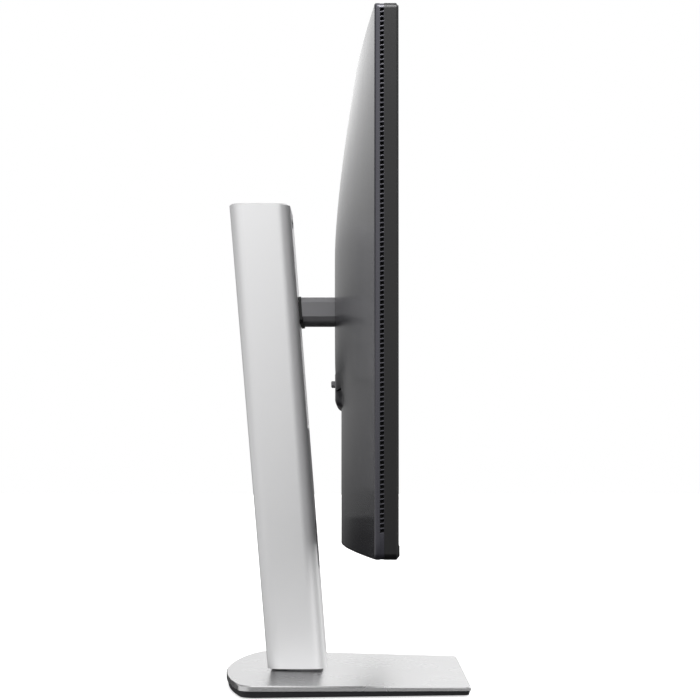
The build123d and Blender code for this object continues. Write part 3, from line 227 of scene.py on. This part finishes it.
for node, piece in frame["nodes"].items():
    piece.material_slots[0].material = FINISHES[slot_of[node]]
frame["nodes"]["base_plate"].material_slots[0].material = FINISHES["foot_silver"]
print("finishes:", len(FINISHES), "on", len(slot_of), "nodes")

# %% [markdown]
# ## Growing a mesh from a tree
# Whatever repeats or follows a rule is grown by Geometry Nodes, since a named size can then be
# changed without drawing anything again. A tree gets a named input for each size, ends in Realize
# Instances and Set Material, and its result becomes a plain mesh.

# %% A tree with named sizes
def new_tree(name, sizes):
    """An empty Geometry Nodes tree. Returns a bare wire, its geometry and its sizes as wires."""
    tree = bpy.data.node_groups.new(name, "GeometryNodeTree")
    tree.interface.new_socket("Geometry", in_out="INPUT", socket_type="NodeSocketGeometry")
    tree.interface.new_socket("Geometry", in_out="OUTPUT", socket_type="NodeSocketGeometry")
    for size, value in sizes.items():
        kind = "NodeSocketInt" if isinstance(value, int) else "NodeSocketFloat"
        tree.interface.new_socket(size, in_out="INPUT", socket_type=kind)
    source = tree.nodes.new("NodeGroupInput")
    wires = [Wire(tree, socket) for socket in source.outputs]
    return Wire(tree), wires[0], dict(zip(sizes, wires[1:]))


def end_tree(geometry, material):
    """Realize Instances and Set Material, then the tree's output."""
    real = geometry.node("GeometryNodeRealizeInstances", None, {"Geometry": geometry})
    dressed = real.node("GeometryNodeSetMaterial", None, {"Geometry": real, "Material": material})
    last = dressed.tree.nodes.new("NodeGroupOutput")
    dressed.tree.links.new(dressed.socket, last.inputs[0])


def grow(name, tree, sizes, seed_mesh=None):
    """Runs a tree on a mesh and returns a new object that holds the plain result."""
    holder = bpy.data.objects.new(name, seed_mesh or bpy.data.meshes.new(name))
    bpy.context.scene.collection.objects.link(holder)
    modifier = holder.modifiers.new("tree", "NODES")
    modifier.node_group = tree
    for item in tree.interface.items_tree:
        if item.name in sizes:
            modifier[item.identifier] = sizes[item.name]
    graph = bpy.context.evaluated_depsgraph_get()
    result = bpy.data.meshes.new_from_object(holder.evaluated_get(graph))
    holder.modifiers.clear()
    holder.data = result
    holder.data.name = name
    return holder


def crease(mesh, degrees=35):
    """Smooth faces, with a sharp edge wherever two faces meet at more than this angle."""
    work = bmesh.new()
    work.from_mesh(mesh)
    for face in work.faces:
        face.smooth = True
    for edge in work.edges:
        edge.smooth = edge.calc_face_angle(0) < math.radians(degrees)
    work.to_mesh(mesh)
    work.free()


def keep(piece, body, slot_name, *nodes):
    """Rides a finished piece on its body and hides the CAD nodes it stands for. slot_name is not used.
    """
    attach(piece, body)
    if nodes:
        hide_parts(*nodes)
    piece.data.calc_loop_triangles()
    print(piece.name, "triangles:", len(piece.data.loop_triangles))


print("trees run so far:", len(bpy.data.node_groups))

# %% [markdown]
# ## Cutting slots
# Holes and slots with rounded ends are cut out of a finished shell by prisms, as a milling cutter
# would. The exact boolean keeps the mesh closed. An outline of a few straight stretches and four
# round corners serves for every hole, and also for the strips that run round the head.

# %% Outlines, prisms and cuts
def slot_points(x0, x1, z0, z1, corner, steps=6):
    """Points round an upright rectangle with rounded corners."""
    points = []
    for cx, cz, turn in ((x1 - corner, z0 + corner, 270), (x1 - corner, z1 - corner, 0),
                         (x0 + corner, z1 - corner, 90), (x0 + corner, z0 + corner, 180)):
        for i in range(steps + 1):
            angle = math.radians(turn + 90 * i / steps)
            points.append((cx + corner * math.cos(angle), cz + corner * math.sin(angle)))
    return points


def prism(work, points, low, high, across_x=False):
    """A closed prism in a bmesh, along Y from an outline in X and Z, or along X from one in Y and Z."""
    if across_x:
        near, away = ([work.verts.new((t * MM, y * MM, z * MM)) for y, z in points] for t in (low, high))
    else:
        near, away = ([work.verts.new((x * MM, t * MM, z * MM)) for x, z in points] for t in (low, high))
    work.faces.new(near)
    work.faces.new(away[::-1])
    for i in range(len(points)):
        j = (i + 1) % len(points)
        work.faces.new([near[j], near[i], away[i], away[j]])


def cut(piece, prisms):
    """Cuts prisms, each an outline with its two ends, out of a piece."""
    work = bmesh.new()
    for values in prisms:
        prism(work, *values)
    bmesh.ops.recalc_face_normals(work, faces=work.faces)
    mesh = bpy.data.meshes.new("cutter")
    work.to_mesh(mesh)
    work.free()
    tool = bpy.data.objects.new("cutter", mesh)
    bpy.context.scene.collection.objects.link(tool)
    modifier = piece.modifiers.new("cut", "BOOLEAN")
    modifier.object = tool
    modifier.solver = "EXACT"
    graph = bpy.context.evaluated_depsgraph_get()
    result = bpy.data.meshes.new_from_object(piece.evaluated_get(graph))
    piece.modifiers.clear()
    piece.data = result
    bpy.data.objects.remove(tool)


print("points in a slot's outline:", len(slot_points(0, 8, 0, 3, 1)))

# %% [markdown]
# ## Rear cover
# The cover is one moulding: a shallow dome, highest in the middle and thinning towards the sides,
# with a raised plateau round the mount that ends below in a rounded lip. It could be drawn as a
# subdivided cage, but its silhouette is what one sees of this monitor, and that follows a rule in
# X and Z. So a flat sheet with the openings left out is laid first, and a tree lifts it by the rule.
# The sheet's lines lie closer together at its edges, at the openings and round the lip.

# %% The flat sheet
HALF = 305.7
LOW, HIGH = 109.0, 465.0
EDGE_ROUND = 1.5
CORNER = 4.0
WINDOW = (-55.0, 55.0, 243.2, 353.2)
BAY = (20.0, 150.0, 158.0, 214.0)
RIM = 0.4


def lines(low, high, stops, step, fine):
    """Grid lines: the stops, their rims, a rounded border, and evenly spaced lines between."""
    border = [EDGE_ROUND * (1 - math.sin(math.radians(a))) for a in (0, 18, 36, 54, 72, 90)]
    fixed = {low + d for d in border} | {high - d for d in border}
    fixed |= {low + CORNER, high - CORNER, low + 2.7, high - 2.7}
    for stop in stops:
        fixed |= {stop - RIM, stop, stop + RIM}
    fixed |= {a + (b - a) * i / n for a, b, n in fine for i in range(n + 1)}
    out = sorted(round(v, 4) for v in fixed)
    more = []
    for a, b in zip(out, out[1:]):
        n = max(1, round((b - a) / step))
        more += [a + (b - a) * i / n for i in range(n)]
    return more + [out[-1]]


across = lines(-HALF, HALF, [-55, 55, 20, 150], 7, [(-96, -36, 24), (36, 96, 24)])
up = lines(LOW, HIGH, [243.2, 353.2, 158, 214], 7, [(217.6, 225.6, 16)])


def inside(x, z, hole):
    return hole[0] < x < hole[1] and hole[2] < z < hole[3]


def rounded(x, z):
    """Moves a point of the square sheet onto the sheet with rounded corners, and gives its drop."""
    mid = (LOW + HIGH) / 2
    half_high = (HIGH - LOW) / 2
    a = max(abs(x) - (HALF - CORNER), 0) / CORNER
    b = max(abs(z - mid) - (half_high - CORNER), 0) / CORNER
    if a and b:
        a, b = a * math.sqrt(1 - b * b / 2), b * math.sqrt(1 - a * a / 2)
        x = math.copysign(HALF - CORNER + a * CORNER, x)
        z = mid + math.copysign(half_high - CORNER + b * CORNER, z - mid)
    inset = min(CORNER * (1 - math.hypot(a, b)), EDGE_ROUND)
    drop = EDGE_ROUND - math.sqrt(EDGE_ROUND**2 - (EDGE_ROUND - inset) ** 2)
    return x, z, drop


work = bmesh.new()
drops = work.verts.layers.float.new("drop")
grid = {}
for i, x in enumerate(across):
    for j, z in enumerate(up):
        if inside(x, z, WINDOW) or inside(x, z, BAY):
            continue
        px, pz, drop = rounded(x, z)
        on_rim = any(
            h[0] - 0.01 < x < h[1] + 0.01 and h[2] - 0.01 < z < h[3] + 0.01 for h in (WINDOW, BAY))
        grid[i, j] = work.verts.new((px * MM, 0, pz * MM))
        grid[i, j][drops] = drop + (RIM * 0.8 if on_rim else 0)
for i in range(len(across) - 1):
    for j in range(len(up) - 1):
        x, z = (across[i] + across[i + 1]) / 2, (up[j] + up[j + 1]) / 2
        if inside(x, z, WINDOW) or inside(x, z, BAY):
            continue
        work.faces.new([grid[i, j], grid[i, j + 1], grid[i + 1, j + 1], grid[i + 1, j]])
flat = bpy.data.meshes.new("rear_cover_flat")
work.to_mesh(flat)
work.free()
print("flat sheet faces:", len(flat.polygons))

# %% [markdown]
# The rule has two layers. The dome falls away to both sides and, above the mount, towards the top.
# Over it lies the plateau, flat across the mount and with long shoulders. High up the plateau spans
# the whole width. Lower down it narrows to a tongue that ends in the lip.

# %% The rule of the dome
COVER_SIZES = {
    "Half width": HALF, "Edge": -22.7, "Middle": 3.8, "Power": 1.45,
    "Fall from": 378.0, "Fall length": 87.0, "Fall": 10.4, "Fall power": 1.35,
    "Plateau": 8.2, "Plateau half": 50.0, "Shoulder": 1.4,
    "Bend from": 335.0, "Bend": 0.00783, "Bend power": 1.55,
    "Spread low": 205.0, "Spread high": 300.0,
    "Lip low": 217.6, "Lip round": 6.4, "Tongue half": 34.0, "Tip low": 222.0, "Tip high": 262.0,
    "Tip reach": 70.0, "Full reach": 190.0}
start, sheet, size = new_tree("rear_cover_rule", COVER_SIZES)
place = start.node("GeometryNodeInputPosition")
x = abs(start.node("ShaderNodeSeparateXYZ", None, {0: place}, output=0)) * 1000
z = start.node("ShaderNodeSeparateXYZ", None, {0: place}, output=2) * 1000


def above_nought(value):
    """A wire's value, or nought where it would be negative."""
    return value.maths("MAXIMUM", value, 0)


fall = above_nought((z - size["Fall from"]) / size["Fall length"]) ** size["Fall power"]
middle = size["Middle"] - fall * size["Fall"]
bulge = 1 - (x / size["Half width"]) ** size["Power"]
dome = size["Edge"] + (middle - size["Edge"]) * bulge
crest = size["Plateau"] - above_nought(z - size["Bend from"]) ** size["Bend power"] * size["Bend"]
outward = above_nought((x - size["Plateau half"]) / (size["Half width"] - size["Plateau half"]))
shoulder = size["Edge"] + (crest - size["Edge"]) * (1 - outward ** size["Shoulder"])
short = above_nought(1 - (z - size["Lip low"]) / size["Lip round"])
lip = start.maths("SQRT", above_nought(1 - start.maths("MINIMUM", short, 1) ** 2))
spread = z.ramp(size["Spread low"], size["Spread high"])
reach = z.ramp(size["Tip low"], size["Tip high"], size["Tip reach"], size["Full reach"])
beside = x.ramp(size["Tongue half"], reach)
proud = (shoulder - dome) * (lip * (1 - beside) + spread * beside)
drop = start.node("GeometryNodeInputNamedAttribute", {"data_type": "FLOAT"}, {"Name": "drop"})
height = (dome + proud - drop) * 0.001
lifted = start.node("ShaderNodeCombineXYZ", None, {"Y": height})
moved = start.node("GeometryNodeSetPosition", None, {"Geometry": sheet, "Offset": lifted})
end_tree(moved, FINISHES["charcoal"])
cover = grow("rear_cover_shell", start.tree, COVER_SIZES, flat)
print("dome, Y from and to, mm:", [round(cover.bound_box[i][1] / MM, 1) for i in (0, 2)])

# %% [markdown]
# The lifted sheet has no walls yet. Its outer rim is drawn forward to the vent band, the rim of the
# mount recess a little way in, and the rim of the connector bay down to the bay's floor. The side of
# the bay where the sockets stand stays open. Then the skin gets its thickness, and last the holes
# are cut: the release button's, the lock slot and the slanted slit beside the button.

# %% Walls, thickness and holes
COVER_FRONT = -25.88
BAY_FLOOR = -21.0
RECESS_WALL = 3.0
SKIN = 1.9
BUTTON_HOLE = (-7.4, 7.4, 235.1, 240.9, 2.3)
LOCK_SLOT = (174.5, 181.5, 188.4, 191.6, 1.2)
SLIT = [(9.6, 228.2), (2.8, 230.0), (2.8, 231.4), (9.6, 229.7)]
work = bmesh.new()
work.from_mesh(cover.data)
rims = {"outer": [], "window": [], "bay": []}


def near_hole(point, hole):
    """Whether a point lies in an opening of the sheet or on its rim."""
    return inside(point.x, point.z, (hole[0] - RIM, hole[1] + RIM, hole[2] - RIM, hole[3] + RIM))


for edge in work.edges:
    if edge.is_boundary:
        point = (edge.verts[0].co + edge.verts[1].co) / 2 / MM
        if near_hole(point, WINDOW):
            rims["window"].append(edge)
        elif near_hole(point, BAY):
            rims["bay"].append(edge)
        else:
            rims["outer"].append(edge)
for name, edges in rims.items():
    out = bmesh.ops.extrude_edge_only(work, edges=edges)["geom"]
    ring = [v for v in out if isinstance(v, bmesh.types.BMVert)]
    for vert in ring:
        if name == "outer":
            vert.co.y = COVER_FRONT * MM
        elif name == "bay":
            vert.co.y = BAY_FLOOR * MM
        else:
            vert.co.y -= RECESS_WALL * MM
    if name == "bay":
        bottom = [e for e in out if isinstance(e, bmesh.types.BMEdge)]
        bmesh.ops.contextual_create(work, geom=bottom)
bmesh.ops.recalc_face_normals(work, faces=work.faces)
highest = max(work.faces, key=lambda face: face.calc_center_median().y)
if highest.normal.y < 0:
    bmesh.ops.reverse_faces(work, faces=work.faces)
socket_side = [face for face in work.faces
               if abs(face.calc_center_median().z / MM - BAY[3]) < 0.01
               and BAY[0] < face.calc_center_median().x / MM < BAY[1]]
bmesh.ops.delete(work, geom=socket_side, context="FACES")
print("wall faces left out where the sockets stand:", len(socket_side))
work.to_mesh(cover.data)
work.free()
wall = cover.modifiers.new("wall", "SOLIDIFY")
wall.thickness = SKIN * MM
wall.offset = -1
graph = bpy.context.evaluated_depsgraph_get()
solid = bpy.data.meshes.new_from_object(cover.evaluated_get(graph))
cover.modifiers.clear()
cover.data = solid
cut(cover, [(slot_points(*BUTTON_HOLE), -6, 30), (slot_points(*LOCK_SLOT), -25, 30),
            (SLIT, -130, -45, True)])
crease(cover.data)
keep(cover, "head", "charcoal", "rear_cover")

# %% [markdown]
# ## Vents
# A narrow band runs round the head between the frame and the cover, and lets warm air out. Slanted
# ribs stand in it, one every 3.08 mm, with dark slots between. Cutting three hundred slots would be
# slow, so the band gets three long gaps instead, and the ribs are stood in them: one rib is drawn as
# a rounded bar, and a tree stands copies of it in a row.

# %% A row of ribs
RIBS = {"Count": 110, "Pitch": 3.08, "Rib": 1.02, "Depth": 2.2, "Length": 2.7, "Rise": 0.4,
        "Round": 0.25}
start, nothing, size = new_tree("rib_row", RIBS)
outline = start.node("GeometryNodeCurvePrimitiveQuadrilateral", None,
                     {"Width": size["Depth"] * 0.001, "Height": size["Rib"] * 0.001})
soft = start.node("GeometryNodeFilletCurve", {"mode": "POLY"},
                  {"Curve": outline, "Count": 2, "Radius": size["Round"] * 0.001})
end_face = start.node("GeometryNodeFillCurve", {"mode": "NGONS"}, {"Curve": soft})
upright = start.node("GeometryNodeTransform", None,
                     {"Geometry": end_face, "Rotation": (math.radians(90), 0, 0)})
run = start.node("ShaderNodeCombineXYZ", None,
                 {"Y": size["Length"] * -0.001, "Z": size["Rise"] * 0.001})
bar = start.node("GeometryNodeExtrudeMesh", None,
                 {"Mesh": upright, "Offset": run, "Individual": False})
back = start.node("GeometryNodeFlipFaces", None, {"Mesh": upright})
both = start.node("GeometryNodeJoinGeometry", None, {0: bar})
start.tree.links.new(back.socket, both.socket.node.inputs[0])
rib = start.node("GeometryNodeMergeByDistance", None, {"Geometry": both, "Distance": 0.00001})
step = start.node("ShaderNodeCombineXYZ", None, {"Z": size["Pitch"] * 0.001})
row = start.node("GeometryNodeMeshLine", None, {"Count": size["Count"], "Offset": step})
stood = start.node("GeometryNodeInstanceOnPoints", None, {"Points": row, "Instance": rib})
end_tree(stood, FINISHES["charcoal"])
rib_tree = start.tree


def rib_row(name, count):
    """A row of ribs along +Z, its first one centred on the origin."""
    return grow(name, rib_tree, {**RIBS, "Count": count})


print("nodes in the tree of the ribs:", len(rib_tree.nodes))

# %% [markdown]
# The band is a closed strip with rounded corners. Its gaps leave a bar at each corner, along the
# whole lower edge and at both rims. Behind it a second strip, matt black, closes the view inwards:
# its black is painted shade, standing for the dark inside of the head seen through the slots.

# %% The band that holds them
def ring_band(name, half_x, low, high, corner, y_low, y_high, depth):
    """A closed strip round the head, `depth` thick, from y_low to y_high."""
    outer = slot_points(-half_x, half_x, low, high, corner)
    inner = slot_points(-half_x + depth, half_x - depth, low + depth, high - depth,
                        max(corner - depth, 0.4))
    work = bmesh.new()
    loops = [[work.verts.new((x * MM, y * MM, z * MM)) for x, z in points]
             for points, y in ((outer, y_low), (outer, y_high), (inner, y_high), (inner, y_low))]
    count = len(outer)
    for a, b in zip(loops, loops[1:] + loops[:1]):
        for i in range(count):
            j = (i + 1) % count
            work.faces.new([a[i], a[j], b[j], b[i]])
    bmesh.ops.recalc_face_normals(work, faces=work.faces)
    mesh = bpy.data.meshes.new(name)
    work.to_mesh(mesh)
    work.free()
    made = bpy.data.objects.new(name, mesh)
    bpy.context.scene.collection.objects.link(made)
    return made


BAND_Y = (-28.78, -25.92)
GAP_Y = (-28.62, -26.08)
BAND_HALF, BAND_LOW, BAND_HIGH, BAND_CORNER = 305.5, 109.2, 464.8, 3.8
BAND_THICK = 2.4
PITCH = RIBS["Pitch"]
SIDE_COUNT, TOP_COUNT = RIBS["Count"], 98
SIDE_MID = 293.5
SIDE_LOW, SIDE_HIGH = (SIDE_MID + way * (SIDE_COUNT - 1) / 2 * PITCH for way in (-1, 1))
TOP_HALF = (TOP_COUNT - 1) / 2 * PITCH
RIB_BEHIND = 1.18
RIB_FRONT = -26.0
band = ring_band("vent_frame", BAND_HALF, BAND_LOW, BAND_HIGH, BAND_CORNER, *BAND_Y, BAND_THICK)
cut(band, [(slot_points(-BAND_HALF - 5, -BAND_HALF + 5, SIDE_LOW, SIDE_HIGH, 0.5), *GAP_Y),
           (slot_points(BAND_HALF - 5, BAND_HALF + 5, SIDE_LOW, SIDE_HIGH, 0.5), *GAP_Y),
           (slot_points(-TOP_HALF, TOP_HALF, BAND_HIGH - 5, BAND_HIGH + 5, 0.5), *GAP_Y)])
band.data.materials.clear()
band.data.materials.append(FINISHES["charcoal"])
rows = []
for name, count, lying, spot_x, spot_z in (
        ("ribs_left", SIDE_COUNT, False, -BAND_HALF + RIB_BEHIND, SIDE_LOW),
        ("ribs_right", SIDE_COUNT, False, BAND_HALF - RIB_BEHIND, SIDE_LOW),
        ("ribs_top", TOP_COUNT, True, -TOP_HALF, BAND_HIGH - RIB_BEHIND)):
    row = rib_row(name, count)
    for vert in row.data.vertices:
        x, y, z = vert.co / MM
        if lying:
            x, z = z, -x
        vert.co = Vector((x + spot_x, y + RIB_FRONT, z + spot_z)) * MM
    rows.append(row)
with bpy.context.temp_override(active_object=band, selected_editable_objects=[band, *rows]):
    bpy.ops.object.join()
work = bmesh.new()
work.from_mesh(band.data)
bmesh.ops.recalc_face_normals(work, faces=work.faces)
work.to_mesh(band.data)
work.free()
crease(band.data)
keep(band, "head", "charcoal", "vent_band")
# A matt black sheet inside the vent band: painted shade for the dark inside of the head.
shade_sheet = ring_band("vent_shade_sheet", BAND_HALF - BAND_THICK - 0.05, BAND_LOW + BAND_THICK + 0.05,
                  BAND_HIGH - BAND_THICK - 0.05, BAND_CORNER - BAND_THICK, *BAND_Y, 0.4)
shade_sheet.data.materials.append(finish("painted_shade_black", (0.004, 0.004, 0.004), 0.9))
keep(shade_sheet, "head", "charcoal_dark")

# %% [markdown]
# ## Floor and light
# The floor is a plain pale sheet that reaches past the edges of any view. It glows a little, so that
# it meets the white surround without a line, and it stays out of the reflections of the silver. The
# column's shell and cap stay out of reflections too, because their bright silver, seen again in the
# cover beside them, would wash out the shading of the dome.

# %% Floor
FLOOR_HALF = 30
corners = [(-1, -1), (1, -1), (1, 1), (-1, 1)]
floor_mesh = bpy.data.meshes.new("floor")
floor_mesh.from_pydata([(FLOOR_HALF * x, FLOOR_HALF * y, 0) for x, y in corners], [], [(0, 1, 2, 3)])
floor = bpy.data.objects.new("floor", floor_mesh)
bpy.context.scene.collection.objects.link(floor)
floor_paint = finish("floor", (0.93, 0.93, 0.93), 0.7, 0, 0.2, 5, 0.02, 0.01, 0.02,
                     Emission_Color=(1, 1, 1, 1), Emission_Strength=0.6)
floor.data.materials.append(floor_paint)
floor.visible_glossy = False
floor.visible_diffuse = False
for node in ("column_shell", "column_cap"):
    frame["nodes"][node].visible_glossy = False
print("floor, metres across:", 2 * FLOOR_HALF)

# %% [markdown]
# Three soft lamps help the surround. One stands overhead for everything. One lights only the head,
# from above, so that its frame is paler at the top than at the bottom. One fills the front of the
# column, which would lie in the head's shade, and throws no shadow.

# %% Lamps
def softbox(name, place, aim, size, watts):
    """A rectangular lamp at a place, aimed at a point."""
    lamp = bpy.data.lights.new(name, "AREA")
    lamp.shape = "RECTANGLE"
    lamp.size, lamp.size_y = size
    lamp.energy = watts
    made = bpy.data.objects.new(name, lamp)
    bpy.context.scene.collection.objects.link(made)
    made.location = place
    made.rotation_euler = (Vector(aim) - Vector(place)).to_track_quat("-Z", "Y").to_euler()
    return made


softbox("overhead", (-0.5, 0.0, 1.5), (0, 0, 0.3), (0.8, 0.8), 2)


def only(lamp, name, body):
    """Lets a lamp shine on the pieces of one body alone."""
    chosen = bpy.data.collections.new(name)
    for piece in list(bpy.context.scene.objects):
        if piece.parent and piece.parent.name == "body:" + body:
            chosen.objects.link(piece)
    lamp.light_linking.receiver_collection = chosen


high = softbox("head_top", (-0.62, -0.15, 0.85), (-0.3, -0.03, 0.45), (0.3, 0.3), 7)
only(high, "head_only", "head")
fill = softbox("column_fill", (-0.55, -0.6, 0.55), (0, 0.05, 0.3), (0.5, 0.5), 1.8)
fill.data.use_shadow = False
only(fill, "column_only", "column")
for lamp in bpy.context.scene.objects:
    if lamp.type == "LIGHT":
        lamp.visible_camera = False

# %% [markdown]
# The surround is white to the eye, and graded where it lights the monitor. Behind the camera it is
# dark below and bright above, for the side of the head and the column. Beyond the monitor it rises
# the same way and fades to the rear, which gives the cover its pale crest and its dark edge by the
# vents. Low down it darkens everywhere, so that the foot's sides stand out from its top.

# %% Surround
world = bpy.data.worlds.new("studio")
bpy.context.scene.world = world
world.use_nodes = True
start = Wire(world.node_tree)
aim = start.node("ShaderNodeTexCoord", output="Generated")
ax, ay, az = (start.node("ShaderNodeSeparateXYZ", None, {0: aim}, output=i) for i in range(3))
near = (ax * -1).ramp(0.0, 0.85) * az.ramp(-0.14, 0.14, -0.42, 1.3)
beyond = ax.ramp(0.55, 0.9)
far = az.ramp(-0.06, 0.1, 0.08, 0.75, False) + az.ramp(0.08, 0.28) * 1.75
far = far * ay.ramp(0.03, 0.26, 1.0, 0.36)
front_rim = ax.ramp(0.1, 0.8) * (ay * -1).ramp(0.06, 0.4) * 0.8
above = az.ramp(0.3, 0.95) * 0.2
ends = (ay * -1).ramp(0.3, 0.9) * 0.1 + ay.ramp(0.3, 0.9) * az.ramp(-0.1, 0.2, 1.1, -0.3)
below = az.ramp(-0.32, 0.03, 0.15, 1.0)
shine = ((near + ends + 0.45) * (1 - beyond) + far * beyond + front_rim + above) * below
seen = start.node("ShaderNodeLightPath", output="Is Camera Ray")
level = shine * (1 - seen) + seen
background = world.node_tree.nodes["Background"]
world.node_tree.links.new(level.socket, background.inputs["Strength"])
background.inputs["Color"].default_value = (1, 1, 1, 1)
bpy.context.scene.view_settings.view_transform = "Standard"
print("nodes in the surround:", len(world.node_tree.nodes))
